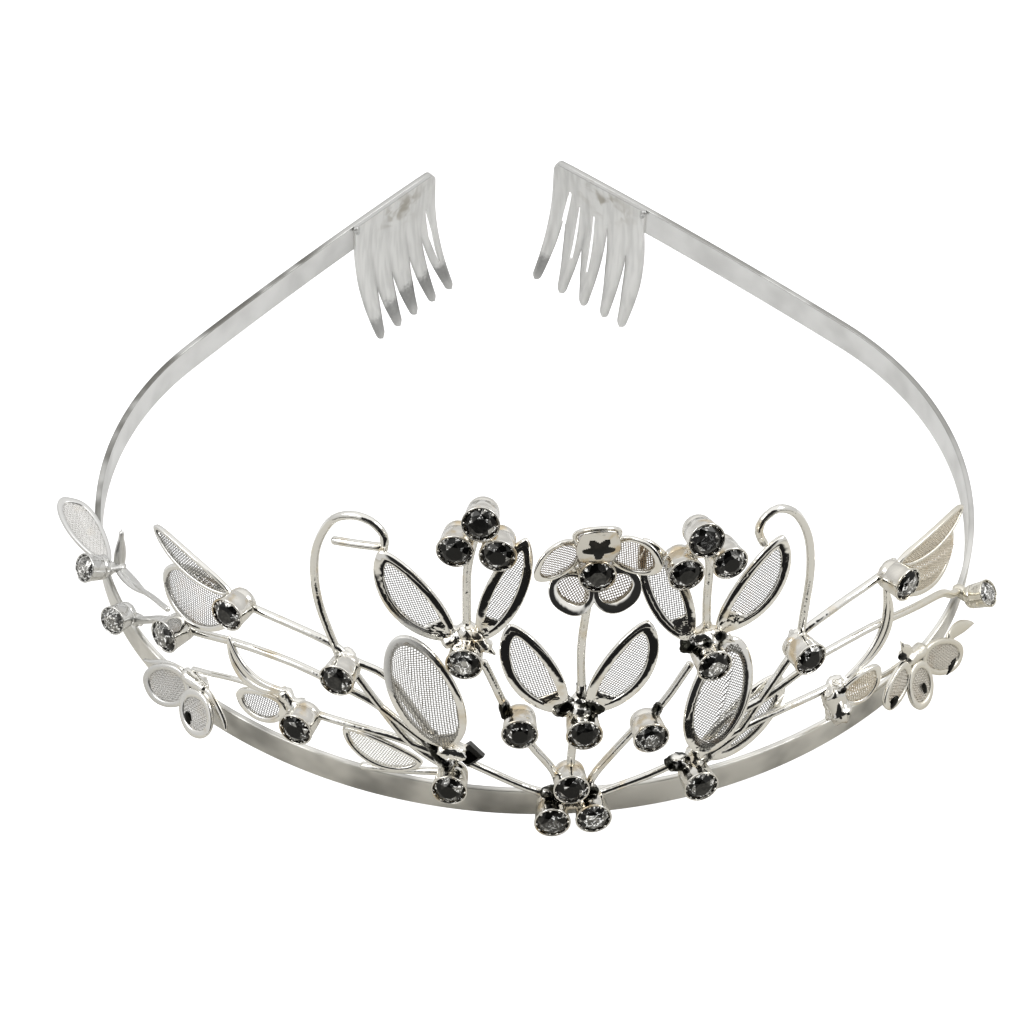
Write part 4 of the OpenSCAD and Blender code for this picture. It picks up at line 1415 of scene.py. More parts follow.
def spray() -> list[Section]:
    """The spray's sections, from the tables of the tiara's design.

    Returns:
        The sections in order.
    """
    flower = Cup(2.3, 45.8)
    centre = Section(
        "centre_wirework",
        cups={"base_top": Cup(0, 8.45, out=4.4), "base_left": Cup(-2.4, 3.6),
              "base_right": Cup(2.8, 4), "centre": Cup(1.3, 19), "left_stem": Cup(-7, 19.3),
              "right_stem": Cup(10, 17.3), "flower": flower},
        beads=[((-1.6, 4.4, 2.3), (2, 4.6, 2.3), 1.3), ((-0.1, 8, 1.5), (0.4, 4.8, 2.4), 1.3),
               ((0.9, 21.6, 1.6), (1.2, 19, 1.8), 1.4), ((-1, 20.8, 1.9), (2.2, 20.6, 1.9), 0.9),
               ((-7, 17.6, 1.5), (-7, 19.3, 1.9), 1.1), ((10, 17.2, 1.5), (10, 17.3, 1.9), 1.1),
               ((2.3, 44.6, 1.4), (2.3, 46.6, 1.6), 1.5)],
        wires=[[(1.4, 20.5), (1, 30.5), (1.6, 37.7), (2.3, 45)],
               [(0.1, 6.8), (0.2, 13.6), (1.1, 19.4)],
               [(-1.2, 5.5), (-2.3, 9.6), (-5.4, 14.2), (-8.7, 19.9), (-11, 25.1), (-12.3, 28)],
               [(2.4, 5.5), (3.6, 9), (8.7, 15.8), (12.5, 19.6), (15.6, 24.2), (16.4, 25.4)],
               [(-1, 5), (-5, 6.1), (-11.2, 9.2), (-13.6, 10.4, 1.6)],
               [(2, 4), (5.6, 5.5), (11, 7.2), (14.4, 8.5, 1.6)]],
        lumps=[((-1.9, 21.2, 2.2), (-0.7, 21.9, 2.1), 1.25),
               ((0.9, 21.2, 2.5), (1.5, 21, 2.5), 1.35), ((2.7, 21.6, 2.2), (3.3, 21, 2.2), 1.15),
               ((0.6, 19.8, 2.6), (2.6, 19.9, 2.6), 0.9),
               ((1.2, 22.8, 1.6), (1.1, 24.4, 1.5), 0.78),
               ((-9.2, 21.2, 1.7), (-8.9, 19.8, 2), 0.85),
               ((11.8, 19.2, 1.7), (11.4, 18.3, 2), 0.8),
               ((-3.2, 6.4, 2.3), (-1.6, 6.6, 2.2), 0.9), ((3, 6.4, 2.3), (1.8, 6.6, 2.2), 0.9)],
        cloth={"top_flower": Finish.WARM_GAUZE},
        shields=[((2.3, 48.1, 5), (2.3, 53.5, 6.4))],
        leaves={"centre_left": [Leaf((-1.2, 20.4, 2), (-9, 36, 3), 4.1, 2.9, 1.3, 0, 0.6)],
                "centre_right": [Leaf((2.2, 20.2, 2), (9.9, 35.6, 3), 2.9, 4.5, 1.3, 0, 0.6)],
                "top_flower": [petal(flower, a, 8.6, 3.4, 6.3, 0.8) for a in (18, 90, 162)]
                + [petal(flower, a, 7.6, 3.6, 4.6, 1.15) for a in (234, 306)]})
    left_twig = Section(
        "left_twig", lump_finish=Finish.SOLDER,
        cups={"left_junction": Cup(-14.6, 30.6), "left_top_a": Cup(-13.4, 53.8, 0, 10),
              "left_top_b": Cup(-16.6, 49), "left_top_c": Cup(-10.9, 49)},
        beads=[((-14.8, 33, 1.6), (-14.4, 30.4, 1.7), 1.6),
               ((-13.4, 33, 1.8), (-16.4, 32.4, 1.8), 1.2),
               ((-13.6, 50.2, 1.6), (-13.3, 53, 1.6), 1.3),
               ((-14.4, 49.6, 1.6), (-16.2, 49.2, 1.8), 1.3),
               ((-13.4, 49.6, 1.6), (-11.2, 49.2, 1.8), 1.3)],
        lumps=[((-17.2, 31.5, 1.9), (-16.2, 32.2, 1.9), 1.2),
               ((-14.9, 31.8, 2.4), (-14.3, 31.5, 2.4), 1.3),
               ((-12.9, 32, 2), (-12.3, 31.3, 1.9), 1.15),
               ((-15.6, 30, 2.6), (-13.6, 30.2, 2.6), 0.9)],
        spikes=[(((-12.9, 31.6, 2), (-12.1, 31, 2), 0.8),
                 ((-11.3, 30.5, 2.1), (-10.7, 30.1, 2.1), 0.15))],
        wires=[[(-14.7, 31), (-15.1, 38.2), (-15.2, 43.8), (-14.2, 50)]],
        leaves={"left_inner": [Leaf((-12.9, 32.3, 2), (-7.2, 50.2, 3), 2.6, 3, 1.3, 0, 0.6)],
                "left_outer": [Leaf((-16.6, 31.8, 2), (-27.6, 44.4, 2.5), 4.4, 3, 1.3, 0, 0.6)]})
    right_twig = Section(
        "right_twig",
        cups={"right_junction": Cup(18.4, 27.7), "right_top_a": Cup(17.1, 49.1, 0, 12),
              "right_top_b": Cup(14.3, 44.2), "right_top_c": Cup(20.5, 44.4)},
        beads=[((18.6, 30, 1.6), (18.4, 27.6, 1.7), 1.6), ((17, 30.4, 1.8), (20, 30.2, 1.8), 1.2),
               ((17.4, 46, 1.6), (17.1, 48.6, 1.6), 1.3),
               ((16.8, 45.2, 1.8), (15.4, 44.4, 2), 1.2),
               ((17.8, 45.2, 1.6), (20.1, 44.6, 1.8), 1.3)],
        lumps=[((15.9, 29.3, 2), (16.9, 30, 1.9), 1.2),
               ((18.2, 29.5, 2.4), (18.8, 29.3, 2.4), 1.3),
               ((20.2, 29.9, 2), (20.9, 29.2, 1.9), 1.15),
               ((17.6, 27.6, 2.6), (19.4, 27.7, 2.6), 0.9)],
        spikes=[(((20.8, 29.4, 2), (21.5, 28.9, 2), 0.8),
                 ((22.2, 28.4, 2.1), (22.7, 28, 2.1), 0.15))],
        wires=[[(18.8, 28.5), (18.8, 35.8), (19.1, 42.1), (17.8, 46)]],
        leaves={"right_inner": [Leaf((16.2, 30.1, 2), (9.8, 46.8, 0), 3.2, 3, 1.3, 0, 0.2)],
                "right_outer": [Leaf((20.3, 30.3, 2), (29.8, 44, 3), 3, 4.7, 1.3, 0, 0.6)]})
    return [centre, left_twig, right_twig, left_branch(), right_branch(), left_flower(),
            right_flower(), left_tail()]


def left_branch() -> Section:
    """The left-hand branch: crook, long wires, five leaves and a bare rim.

    Returns:
        The section.
    """
    return Section(
        "left_branch",
        cups={"left_crook": Cup(-31.3, 23.3), "left_big": Cup(-15.6, 8.4),
              "left_low": Cup(-36.4, 12.3), "left_fold": Cup(-47.9, 26.6),
              "left_outer": Cup(-57.8, 15.9), "left_side": Cup(-69.1, 8.5, 20, 12.6, 4.8, 0.85)},
        beads=[((-69.6, 6.4, 0.3), (-68.8, 7.6, 0.9), 1),
               ((-16.6, 10.6, 1.5), (-15.8, 8.4, 1.7), 1.6),
               ((-16.6, 12.8, 2.2), (-14.6, 12.2, 1.8), 1.5),
               ((-31.4, 24.4, 1.5), (-31.2, 22.8, 1.7), 1.3),
               ((-38, 13, 1.5), (-36.6, 12.4, 1.7), 1.2),
               ((-40, 14, 1.6), (-38.6, 12.6, 1.6), 1.1),
               ((-49, 26.2, 1.7), (-47.8, 26.4, 1.7), 1.3)],
        lumps=[((-19, 13.8, 1.8), (-16.8, 10.8, 2.2), 1.3)],
        nuggets=[((-13.6, 12, 1.9), 2.1)],
        wires=[[(-31.6, 22.3), (-33.6, 26.1), (-36.6, 33), (-37.4, 40), (-35.6, 45.7),
                (-32.6, 47.9), (-29.5, 47.9), (-27.4, 46.2), (-27.3, 44)],
               [(-27.8, 44.2), (-34.7, 43)],
               [(-48.6, 26), (-40.3, 26.3), (-33.8, 25.7), (-31, 24)],
               [(-68.8, 7.4, 0.9), (-62.4, 13, 1), (-56.8, 15.6), (-48.9, 18.5), (-41.4, 19.8),
                (-35.2, 19.6), (-27.8, 18), (-23.3, 15.4), (-16.5, 10.4)],
               [(-31, 23), (-26.2, 17.4), (-21.7, 12.3), (-16, 8.6)],
               [(-30, 24), (-25.7, 22.9), (-22.1, 18.8), (-16.5, 11)],
               [(-37.5, 12.5), (-28.8, 12.8), (-22.7, 12.4), (-16, 10.6)],
               [(-28.1, 5.8, 1.2), (-23.7, 6.6, 1.2), (-16, 8.3)]],
        thin_wires=[[(-55.4, 9.2, 1.4), (-53.6, 9.8, 1.2), (-47, 12.2, 1.2), (-39.6, 13, 1.5)]],
        cloth={"left_big": Finish.PALE_GAUZE, "left_low": Finish.CREAM_GAUZE},
        leaves={"left_big": [Leaf((-16.4, 13.6, 2.5), (-23.2, 33, 4.5), 4.6, 5, 1, 0, 0.8,
                                  puff=1.2, creases=1, heel=0.12, rim_width=1.1)],
                "left_low": [Leaf((-19.8, 9, 1.5), (-31.2, 12, 1.5), 3.4, 1.6, 1.2, 0, 0.4,
                                  heel=0.0, rim_width=0.7)],
                "left_loop": [Leaf((-39.5, 12, 1.5), (-47.6, 9.6, 1.5), 3.2, 2.2, 1, 0, 0.3,
                                   heel=0.0, rim_width=0.9)],
                "left_fold": [Leaf((-49, 25.8, 1.8), (-62.6, 20.6, 1.8), 5.4, 4.4, 0.9, 0, 0.5,
                                   puff=0.4, heel=0.1, rim_width=0.85),
                              Leaf((-49.4, 27.4, 2.4), (-64, 30.6, 3.6), 2.2, 1.8, 1.2, 0, 0.3,
                                   heel=0.0, rim_width=0.6)]},
        bare_rims=[Leaf((-39.6, 15, 2), (-49.6, 19.6, 2), 1.3, 1.3, 1, -3.2)])


def right_branch() -> Section:
    """The right-hand branch: crook, long wires, five leaves and a bare rim.

    Returns:
        The section.
    """
    return Section(
        "right_branch",
        cups={"right_crook": Cup(32.5, 23.1), "right_big": Cup(16.8, 6.8),
              "right_fold": Cup(49.5, 26.2), "right_low": Cup(38.3, 8.6, 0, -60, 3.6, 0.75, True),
              "right_side": Cup(69, 7.6, 0, 30, 5.7, 0.82)},
        beads=[((69.3, 6.6, 1), (69, 6, 2.2), 0.9), ((17.4, 9, 1.5), (16.9, 6.9, 1.7), 1.6),
               ((32.8, 23.8, 1.5), (32.6, 22.6, 1.7), 1.3),
               ((39.4, 12, 1.5), (38.4, 10.6, 1.7), 1.3),
               ((50.6, 26.4, 1.7), (49.4, 26.2, 1.7), 1.3)],
        lumps=[((15, 8.6, 1.7), (14.2, 8.6, 1.5), 1.3), ((17.8, 9.8, 2), (18.8, 8.2, 1.2), 1.3)],
        wires=[[(33.2, 22.3), (34.1, 27.4), (35.3, 34.5), (35, 40.5), (33, 45.2), (30, 47.3),
                (27.5, 46.4), (26.8, 44.6), (27.6, 42.5)],
               [(32.2, 23.6), (34.8, 24.8), (41.4, 26.1), (50, 26.4)],
               [(17.4, 9), (21.2, 13.7), (27.7, 15.6), (33.1, 17.5), (37.5, 18.8), (48, 17.9),
                (61, 13.2), (66.3, 8.6, 1.2), (69.3, 6.4, 1)],
               [(17.4, 8.6), (22.8, 11.1), (30.1, 12.2), (39.4, 12.1)],
               [(32.8, 22), (30.8, 20), (27, 15.4), (23.1, 10.6), (17.2, 7.8)]],
        cloth={"right_fold": Finish.BEIGE_GAUZE, "right_fan": Finish.BEIGE_GAUZE},
        pale_lumps=[((38.1, 11.2, 2.6), (38.5, 8.4, 3.4), 1.75)],
        spots=[((39, 12.6, 3.7), 0.55, 0.4, 20), ((38.6, 9.6, 5.1), 0.25, 0.2, 0),
               ((37.5, 9.4, 4.9), 0.2, 0.25, 0)],
        leaves={"right_big": [Leaf((17.6, 10.7, 3.1), (23.7, 26.9, 0.1), 5, 4.6, 1, 0, 0.6,
                                   puff=0.7, creases=1, heel=0.1)],
                "right_behind": [Leaf((18.8, 7.4, 0.6), (31.3, 16.8, 0), 3.4, 4.6, 1)],
                "right_fan": [Leaf((39.6, 9.6, 1.6), (46.8, 11, 2.4), 2.2, 3.6, 0.9, 0, 0.3,
                                   creases=2, heel=0.0, rim_width=0.7)],
                "right_fold": [Leaf((50.4, 25.6, 1.8), (66, 19.6, 1.8), 4.4, 5, 0.9, 0, 0.5,
                                    puff=0.4, creases=3, heel=0.1, rim_width=0.85),
                               Leaf((50.7, 27.4, 2.4), (66, 27, 3.6), 1.8, 2.2, 1.2, 0, 0.3,
                                    heel=0.0, rim_width=0.6)]},
        bare_rims=[Leaf((40.8, 12.6, 2), (48.6, 24.4, 2), 1.2, 1.2, 1, 4)])


def left_flower() -> Section:
    """The small flower at the left, with two petals and two spikes.

    Returns:
        The section.
    """
    return Section(
        "left_flower",
        beads=[((-55.8, 8.2, 2), (-53, 8, 2), 1.1), ((-54.6, 7.4, 1.6), (-54.6, 6.5, 0.2), 1)],
        cloth={"left_flower": Finish.CLOSE_GAUZE},
        spots=[((-53.4, 2.9, 3.9), 0.65, 1.25, 15)],
        leaves={"left_flower": [Leaf((-55, 8, 2.4), (-61.2, 2.4, 4), 3.2, 3.2, 0.85,
                                     heel=0.0, rim_width=0.85),
                                Leaf((-54, 7.4, 2.6), (-51, 1.4, 4.5), 3, 3, 0.9,
                                     heel=0.0, rim_width=0.85)]},
        spikes=[(((-52.4, 8, 2.2), (-50.8, 7, 2.4), 0.7),
                 ((-48.4, 4.6, 2.6), (-47.9, 3.6, 2.8), 0.4)),
                (((-56, 8.6, 2.2), (-59, 7.8, 2.4), 0.6), ((-62, 6.2, 2.8), (-63.4, 5.6, 3), 0.4))])


def right_flower() -> Section:
    """The small flower at the right, with three petals and two spikes.

    Returns:
        The section.
    """
    return Section(
        "right_flower",
        beads=[((55.6, 7.6, 2), (52.8, 7.8, 2), 1.1), ((54.4, 7.2, 1.6), (54.4, 6.5, 0.2), 1)],
        thin_wires=[[(55, 6.6, 1.2), (48, 7.6, 1.2), (42, 10.4, 1.2)]],
        cloth={"right_flower": Finish.DULL_GAUZE},
        spots=[((60.4, 0.9, 3.8), 1.5, 0.5, 20), ((53.9, 2.6, 4), 0.35, 1.2, 10),
               ((47.8, 4.4, 3.8), 1.2, 0.75, 30), ((51.6, 9.4, 2.2), 1.1, 0.6, -40)],
        leaves={"right_flower": [Leaf((55.6, 7, 2.4), (62.8, 0.4, 4), 2.7, 2.7, 0.85,
                                      heel=0.0, rim_width=0.8),
                                 Leaf((54.2, 6.6, 2.4), (53, -0.2, 4.5), 2.6, 2.5, 0.9,
                                      heel=0.0, rim_width=0.8),
                                 Leaf((52.6, 7.6, 2.4), (46.2, 4.6, 3.8), 2.8, 2.6, 0.9,
                                      heel=0.0, rim_width=0.8)]},
        spikes=[(((53.4, 8, 2), (52.8, 9.4, 2), 0.8), ((52, 11, 2), (51.7, 12, 2), 0.4)),
                (((61, 5.3, 3), (63.6, 4.6, 2.8), 1.1), ((66.6, 3, 3.4), (67.6, 2.4, 3.6), 0.7))])


def left_tail() -> Section:
    """The last piece at the left: a broad leaf, a stone, thin wires and two spikes.

    Returns:
        The section.
    """
    return Section(
        "left_tail",
        cups={"left_tail": Cup(-78.9, 8.8, 11.5, 19.3, 4.8, 0.85)},
        cloth={"left_tail": Finish.CLOSE_GAUZE},
        beads=[((-80, 6.6, 0.6), (-82, 6.4, 0.8), 1), ((-80, 6.8, 0.6), (-80, 6.8, -0.9), 0.9)],
        thin_wires=[[(-79.6, 6.6, -0.8), (-74.5, 8.4, -1.2), (-68.5, 11.6, -0.8),
                     (-62.8, 14.4, 0.4)],
                    [(-80, 6.6, -0.8), (-80.6, 9, -0.9), (-81.4, 12.4, -0.9)]],
        leaves={"left_tail": [Leaf((-81.4, 6, 0.4), (-93.6, 6.4, 4.4), 3, 3, 0.7, 0, 0, 80, 0.6,
                                   creases=1, heel=0.0, rim_width=0.7)]},
        spikes=[(((-80.2, 7, -0.9), (-80.6, 9, -0.9), 0.8),
                 ((-81.2, 11.6, -0.9), (-81.4, 13, -0.9), 0.3)),
                (((-79.4, 6.8, -1), (-77.6, 7.2, -1.2), 0.9),
                 ((-73, 9, -1.2), (-70, 10.8, -1), 0.5))])


def rounded(distance: float, radius: float) -> float:
    """How far a rounded corner falls back at a distance from its end."""
    rest = max(0.0, radius - distance)
    return radius - math.sqrt(radius * radius - rest * rest)


@dataclass
class Band:
    """The flat strip, bent round and softened at its edges."""

    height: float = 5.0
    thickness: float = 0.9
    right_extra: float = 2.6
    gap: float = 1.6
    corner: float = 1.5

    def build(self) -> None:
        """Draws the strip along its outline."""
        low, high = -WALL.half_length, WALL.half_length + self.right_extra
        n = round((high - low) / self.gap)
        ends = [self.corner * (1.0 - math.cos(math.radians(a))) for a in (0, 15, 30, 45, 60, 75)]
        places = [low + d for d in ends] + [high - d for d in ends]
        places += [low + (high - low) * k / n for k in range(2, n - 1)]
        stations = []
        for s in sorted(places):
            out = WALL.flat_out(s)
            half = (self.height - rounded(min(s - low, high - s), self.corner)) / 2
            centre = WALL.plan(s) - out * (self.thickness / 2)
            centre.z = half
            m = Matrix((out * self.thickness / 2, Vector((0, 0, half)), WALL.along(s)))
            m = m.transposed().to_4x4()
            m.translation = centre
            stations.append(m)
        work = Metalwork([Finish.BAND])
        work.draw(stations, Finish.BAND, 24, 0.22)
        rise = work.bm.verts.layers.float.new("rise")
        for v in work.bm.verts:
            v[rise] = v.co.z / self.height
        work.finish("band_strip", "band", "plated_band")


@dataclass
class Comb:
    """A hair comb pressed from sheet: troughed teeth that curve inward below the band."""

    name: str
    at: float
    side: float
    tips: tuple[float, ...]
    gaps: tuple[tuple[float, float], ...]
    slots: tuple[tuple[float, ...], ...]
    smear: tuple[float, float]
    worn: tuple[float, ...]
    bulge: float = 0.0
    half: float = 8.7
    reach: float = 9.4
    corner: float = 1.5
    tooth: float = 17.4
    sheet: float = 0.5
    curve_r: float = 36.0
    band_height: float = 5.0
    band_gap: float = 1.02
    trough: float = 0.3
    flat_from: float = 0.6
    columns: int = 10
    rows: int = 64
    end_beads: tuple[tuple[float, ...], ...] = ((0.62, -8.5, 4.5), (0.4, -8.2, 3.6))

    def build(self) -> None:
        """Presses the teeth one by one, joins them and bends the sheet."""
        work = Metalwork([Finish.COMB])
        bm = work.bm
        top = self.band_height
        last = len(self.tips) - 1
        layers = {name: bm.verts.layers.float.new(name)
                  for name in ("down", "worn", "smear", "side")}
        for i, tip in enumerate(self.tips):
            left = (-self.half, -7.0) if i == 0 else self.gaps[i - 1]
            right = (self.reach, -4.0) if i == last else self.gaps[i]
            lay = bmesh.ops.create_grid(bm, x_segments=self.columns, y_segments=self.rows, size=0.5)
            for v in lay["verts"]:
                row = 0.5 - v.co.y
                row -= 0.12 * math.sin(math.tau * row)
                z = top - row * (top + self.tooth)
                a, b = self._edge(left, tip - 0.8, z), self._edge(right, tip + 0.8, z)
                if i == 0 and z < 0:
                    a -= self.bulge * math.sin(math.pi * -z / self.tooth)
                if i == last:
                    b -= rounded(top - z, self.corner)
                u = v.co.x + 0.5
                mid = (a + b) / 2
                x = mid + (a + (b - a) * u - mid) * self._nose(z)
                v[layers["down"]] = row
                v[layers["worn"]] = self.worn[i]
                # side: how near the tooth's edge, for the painted shade of the trough.
                v[layers["side"]] = abs(2 * u - 1) ** 4 * min(1.0, max(0.15, (-3.0 - z) / 5.0))
                v[layers["smear"]] = math.exp(-((x - self.smear[0]) / 4.2) ** 2
                                              - ((z - self.smear[1]) / 2.6) ** 2)
                relief = self.trough * (4 * u * (1 - u)) * min(1.0, max(0.0, (1.5 - z) / 6.0))
                v.co = Vector((x, relief, z))
        self._open_slots(bm)
        bmesh.ops.remove_doubles(bm, verts=bm.verts, dist=0.02)
        self._bend(bm)
        bmesh.ops.recalc_face_normals(bm, faces=bm.faces)
        bmesh.ops.solidify(bm, geom=bm.faces, thickness=self.sheet)
        for size, x, z in self.end_beads:
            bead = Matrix.Translation((x, self.sheet * 0.7, z)) @ Matrix.Diagonal((1, 0.7, 1, 1))
            bmesh.ops.create_uvsphere(bm, u_segments=14, v_segments=8, radius=size, matrix=bead)
        bmesh.ops.recalc_face_normals(bm, faces=bm.faces)
        bm.normal_update()
        for f in bm.faces:
            f.smooth = abs(f.normal.y) > self.flat_from or len(f.verts) == 3
        turn = Matrix.Rotation(WALL.heading(self.at), 4, "Z")
        flip = Matrix.Scale(-1.0, 4, (1, 0, 0)) if self.side < 0 else Matrix.Identity(4)
        inward = Matrix.Translation((0, self.band_gap, 0))
        place = Matrix.Translation(WALL.plan(self.at)) @ turn @ inward
        bmesh.ops.transform(bm, matrix=flip @ place, verts=bm.verts)
        bmesh.ops.recalc_face_normals(bm, faces=bm.faces)
        work.finish(f"{self.name}_pressed", self.name, "plated_comb")

    def _edge(self, root: tuple[float, float], tip: float, z: float) -> float:
        """Where a tooth's side lies at a height.

        Args:
            root: Where the gap beside the tooth ends.
            tip: Where the side ends at the tooth's tip.
            z: The height.

        Returns:
            Its place along the band.
        """
        if z >= root[1]:
            return root[0]
        middle = (root[1] - self.tooth) / 2
        bend = root[0] + (tip - root[0]) * 0.4
        if z > middle:
            return root[0] + (bend - root[0]) * (root[1] - z) / (root[1] - middle)
        return bend + (tip - bend) * (middle - z) / (middle + self.tooth)

    def _nose(self, z: float) -> float:
        """Share of the width left near a tooth's rounded tip."""
        rest = (z + self.tooth) / 0.9
        return 1.0 if rest > 1 else max(0.05, math.sqrt(max(0.0, 1 - (1 - rest) ** 2)))

    @staticmethod
    def _outline(slot: tuple[float, ...]) -> list[tuple[float, float]]:
        """Outline of a slot with rounded ends: its two ends, and half widths there and midway.

        Args:
            slot: Its two ends, then the half widths.

        Returns:
            The corners.
        """
        x0, z0, x1, z1, high, middle, low = slot
        turns = [math.pi * k / 5 for k in range(6)]
        corners = [(x0 + high * math.cos(a), z0 + high * math.sin(a)) for a in turns]
        corners.append(((x0 + x1) / 2 - middle, (z0 + z1) / 2))
        corners += [(x1 - low * math.cos(a), z1 - low * math.sin(a)) for a in turns]
        corners.append(((x0 + x1) / 2 + middle, (z0 + z1) / 2))
        return corners

    def _open_slots(self, bm: bmesh.types.BMesh) -> None:
        """Cuts the long slots out of the flat teeth.

        Args:
            bm: The mesh of the flat comb.
        """
        for slot in self.slots:
            x0, z0, x1, z1 = slot[:4]
            corners = self._outline(slot)
            near = [f for f in bm.faces
                    if abs(f.calc_center_median().x - (x0 + x1) / 2) < 2.5
                    and z1 - 1 < f.calc_center_median().z < z0 + 1]
            for (xa, za), (xb, zb) in zip(corners, corners[1:] + corners[:1]):
                near = [f for f in near if f.is_valid]
                geom = once(g for f in near for g in (f, *f.edges, *f.verts))
                cut = bmesh.ops.bisect_plane(bm, geom=geom, dist=1e-4, plane_co=(xa, 0, za),
                                             plane_no=(zb - za, 0, xa - xb))
                near = [g for g in cut["geom"] if isinstance(g, bmesh.types.BMFace)]
            inner = [f for f in near
                     if f.is_valid and self._within(f.calc_center_median(), corners)]
            bmesh.ops.delete(bm, geom=inner, context="FACES")

    @staticmethod
    def _within(p: Vector, corners: list[tuple[float, float]]) -> bool:
        """Whether a point of the sheet lies in a slot.

        Args:
            p: The point.
            corners: The slot's outline.

        Returns:
            Whether it does.
        """
        turns = [(xb - xa) * (p.z - za) - (zb - za) * (p.x - xa)
                 for (xa, za), (xb, zb) in zip(corners, corners[1:] + corners[:1])]
        return all(t < 0 for t in turns) or all(t > 0 for t in turns)

    def _bend(self, bm: bmesh.types.BMesh) -> None:
        """Curves the flat sheet inward below the band.

        Args:
            bm: The mesh of the flat comb.
        """
        for v in bm.verts:
            depth = v.co.y + self.sheet / 2 + 0.1
            if v.co.z < 0:
                a = math.asin(min(1.0, -v.co.z / self.curve_r))
                radius = self.curve_r - depth
                v.co = Vector((v.co.x, self.curve_r - radius * math.cos(a), -radius * math.sin(a)))
            else:
                v.co.y = depth


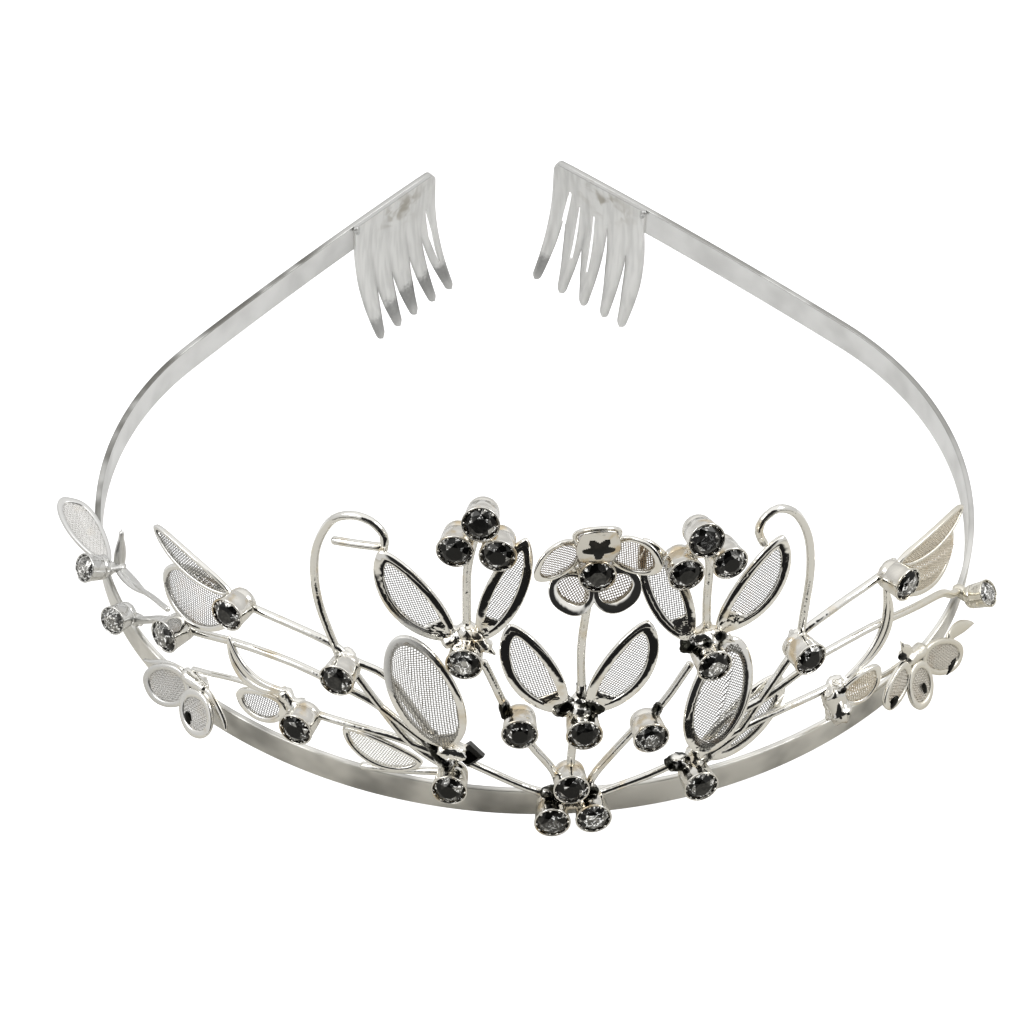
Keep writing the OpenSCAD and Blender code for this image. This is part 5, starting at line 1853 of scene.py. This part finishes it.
class Studio:
    """Floor, lights and camera."""

    yaw = 0.1067
    elevation = 0.8363
    roll = 0.0422
    distance = 491.55
    target = -3.316
    focal_px = 3349.39
    picture_px = 1024.0
    sensor_mm = 36.0
    grey_from_mm = 20.0
    grey_to_mm = -25.0
    paper_end_mm = -125.0
    dark_end_mm = -145.0
    dark_half_mm = 320.0
    floor_glow = 1.05
    floor_mm = 0.4
    floor_white = (0.80, 0.80, 0.80, 1.0)
    floor_grey = (0.62, 0.605, 0.565, 1.0)
    floor_dark = (0.012, 0.012, 0.012, 1.0)
    floor_seen = (0.35, 0.35, 0.35, 1.0)
    white = (1.0, 1.0, 1.0, 1.0)
    wall_white = (1.0, 0.995, 0.985, 1.0)
    low_light = 0.66
    high_light = 0.34
    dark_depth = 0.97
    lamps = (("soft box left", (-0.55, -0.2, 0.65), 0.4, 1.6),
             ("soft box right", (0.6, -0.15, 0.6), 0.35, 1.8))
    squash = 0.45
    dark_rise = 6.0
    dark_inner = 36.0
    dark_outer = 45.0

    def build(self) -> None:
        """Sets up the studio."""
        self.build_camera()
        self.build_floor()
        self.build_light()

    def build_camera(self) -> None:
        """Stands the camera where the photograph was taken from."""
        cos_e, sin_e = math.cos(self.elevation), math.sin(self.elevation)
        ahead = Vector((math.sin(self.yaw) * cos_e, math.cos(self.yaw) * cos_e, -sin_e))
        right = Vector((math.cos(self.yaw), -math.sin(self.yaw), 0.0))
        up = right.cross(ahead)
        across = right * math.cos(self.roll) + up * math.sin(self.roll)
        rise = up * math.cos(self.roll) - right * math.sin(self.roll)
        stand_at = Vector((self.target, 0.0, 0.0)) - ahead * self.distance
        turn = REST.to_3x3() * (1.0 / MM)
        data = bpy.data.cameras.new("photo camera")
        data.sensor_width = self.sensor_mm
        data.lens = self.focal_px / self.picture_px * self.sensor_mm
        data.clip_start = 0.01
        camera = bpy.data.objects.new("photo camera", data)
        m = (turn @ Matrix((across, rise, -ahead)).transposed()).to_4x4()
        m.translation = REST @ stand_at
        camera.matrix_world = m
        bpy.context.scene.collection.objects.link(camera)
        bpy.context.scene.camera = camera

    def build_floor(self) -> None:
        """Lays the plain pale floor."""
        bm = bmesh.new()
        bmesh.ops.create_grid(bm, x_segments=1, y_segments=1, size=3.0)
        mesh = bpy.data.meshes.new("floor")
        bm.to_mesh(mesh)
        bm.free()
        graph, shader, material = new_material("white floor")
        seen = graph.add("ShaderNodeLightPath", output="Is Camera Ray")
        front = graph.object_place("Y").step(self.paper_end_mm * MM, self.dark_end_mm * MM)
        middle = abs(graph.object_place("X")).step(self.dark_half_mm * MM,
                                                   0.6 * self.dark_half_mm * MM)
        ahead = graph.object_place("Y").step(self.grey_from_mm * MM, self.grey_to_mm * MM)
        paper = graph.blend(ahead * (1.0 - seen), self.floor_white, self.floor_grey)
        dark = front * middle * (1.0 - seen)
        feed(graph, shader, Roughness=0.9, Specular_IOR_Level=0.0,
             Base_Color=graph.blend(seen, graph.blend(dark, paper, self.floor_dark),
                                    self.floor_seen),
             Emission_Color=graph.blend(seen, BLACK, self.white),
             Emission_Strength=self.floor_glow)
        mesh.materials.append(material)
        floor = bpy.data.objects.new("floor", mesh)
        floor.location.z = -self.floor_mm * MM
        bpy.context.scene.collection.objects.link(floor)

    def build_light(self) -> None:
        """Lights the room: white walls and ceiling, with the dark camera side in front."""
        scene = bpy.context.scene
        world = scene.world or bpy.data.worlds.new("room")
        scene.world = world
        world.use_nodes = True
        world.node_tree.nodes.clear()
        graph = Graph(world.node_tree)
        way = graph.add("ShaderNodeTexCoord", output="Generated")
        dark = Vector((0.05, -1.0, math.tan(math.radians(self.dark_rise))))
        tall = graph.vector("NORMALIZE",
                            graph.vector("MULTIPLY", way, (1.0, 1.0, self.squash)))
        near = graph.vector("DOT_PRODUCT", tall, dark.normalized(), output="Value")
        shade = near.step(math.cos(math.radians(self.dark_outer)),
                          math.cos(math.radians(self.dark_inner)))
        height = graph.add("ShaderNodeSeparateXYZ", inputs={0: way}, output="Z")
        light = self.low_light + height.step(0.1, 0.9) * self.high_light
        strength = light * (1.0 - shade * self.dark_depth)
        back = graph.add("ShaderNodeBackground", inputs={
            "Color": self.wall_white, "Strength": strength})
        graph.add("ShaderNodeOutputWorld", inputs={"Surface": back})
        for name, place, size, power in self.lamps:
            data = bpy.data.lights.new(name, "AREA")
            data.size = size
            data.energy = power
            lamp = bpy.data.objects.new(name, data)
            aim = Vector((0.0, 0.0, 0.02)) - Vector(place)
            lamp.matrix_world = (Matrix.Translation(place)
                                 @ aim.to_track_quat("-Z", "Y").to_matrix().to_4x4())
            scene.collection.objects.link(lamp)
        scene.view_settings.view_transform = "Standard"


def combs() -> list[Comb]:
    """The two combs.

    Returns:
        The left comb and the right comb.
    """
    end = WALL.half_length
    return [
        Comb("left_comb", end - 9.5, -1.0, (-7.3, -3.3, 0.4, 4.7, 8.7),
             ((-5.1, -9.7), (-1.5, -8.7), (2.5, -8.3), (5.7, -6.4)),
             ((7.1, -1.4, 8.1, -12.2, 0.15, 0.6, 0.15),), (1.9, 2.4), (0.78, 0.95, 1.0, 1.0, 1.0)),
        Comb("right_comb", end + 2.6 - 9.6, 1.0, (-8.6, -5.1, -0.9, 3.6, 8.8),
             ((-6, -6), (-1.8, -2.7), (2.3, -8.8), (6.5, -4)),
             ((1.0, -1.9, 0.3, -12, 0.32, 0.4, 0.34), (3.9, -1.5, 3.7, -11.2, 0.2, 0.34, 0.34),
              (6.0, 0.2, 6.5, -6, 0.4, 0.42, 0.42)), (-1.2, 2.6), (0.0, 0.1, 0.1, 0.15, 0.9), 0.9),
    ]


def main() -> None:
    """Builds the studio and every piece of the tiara in order."""
    logging.basicConfig(level=logging.INFO, format="%(name)s: %(message)s")
    Studio().build()
    Band().build()
    for comb in combs():
        comb.build()
    for section in spray():
        section.build()


if __name__ == "__main__":
    main()
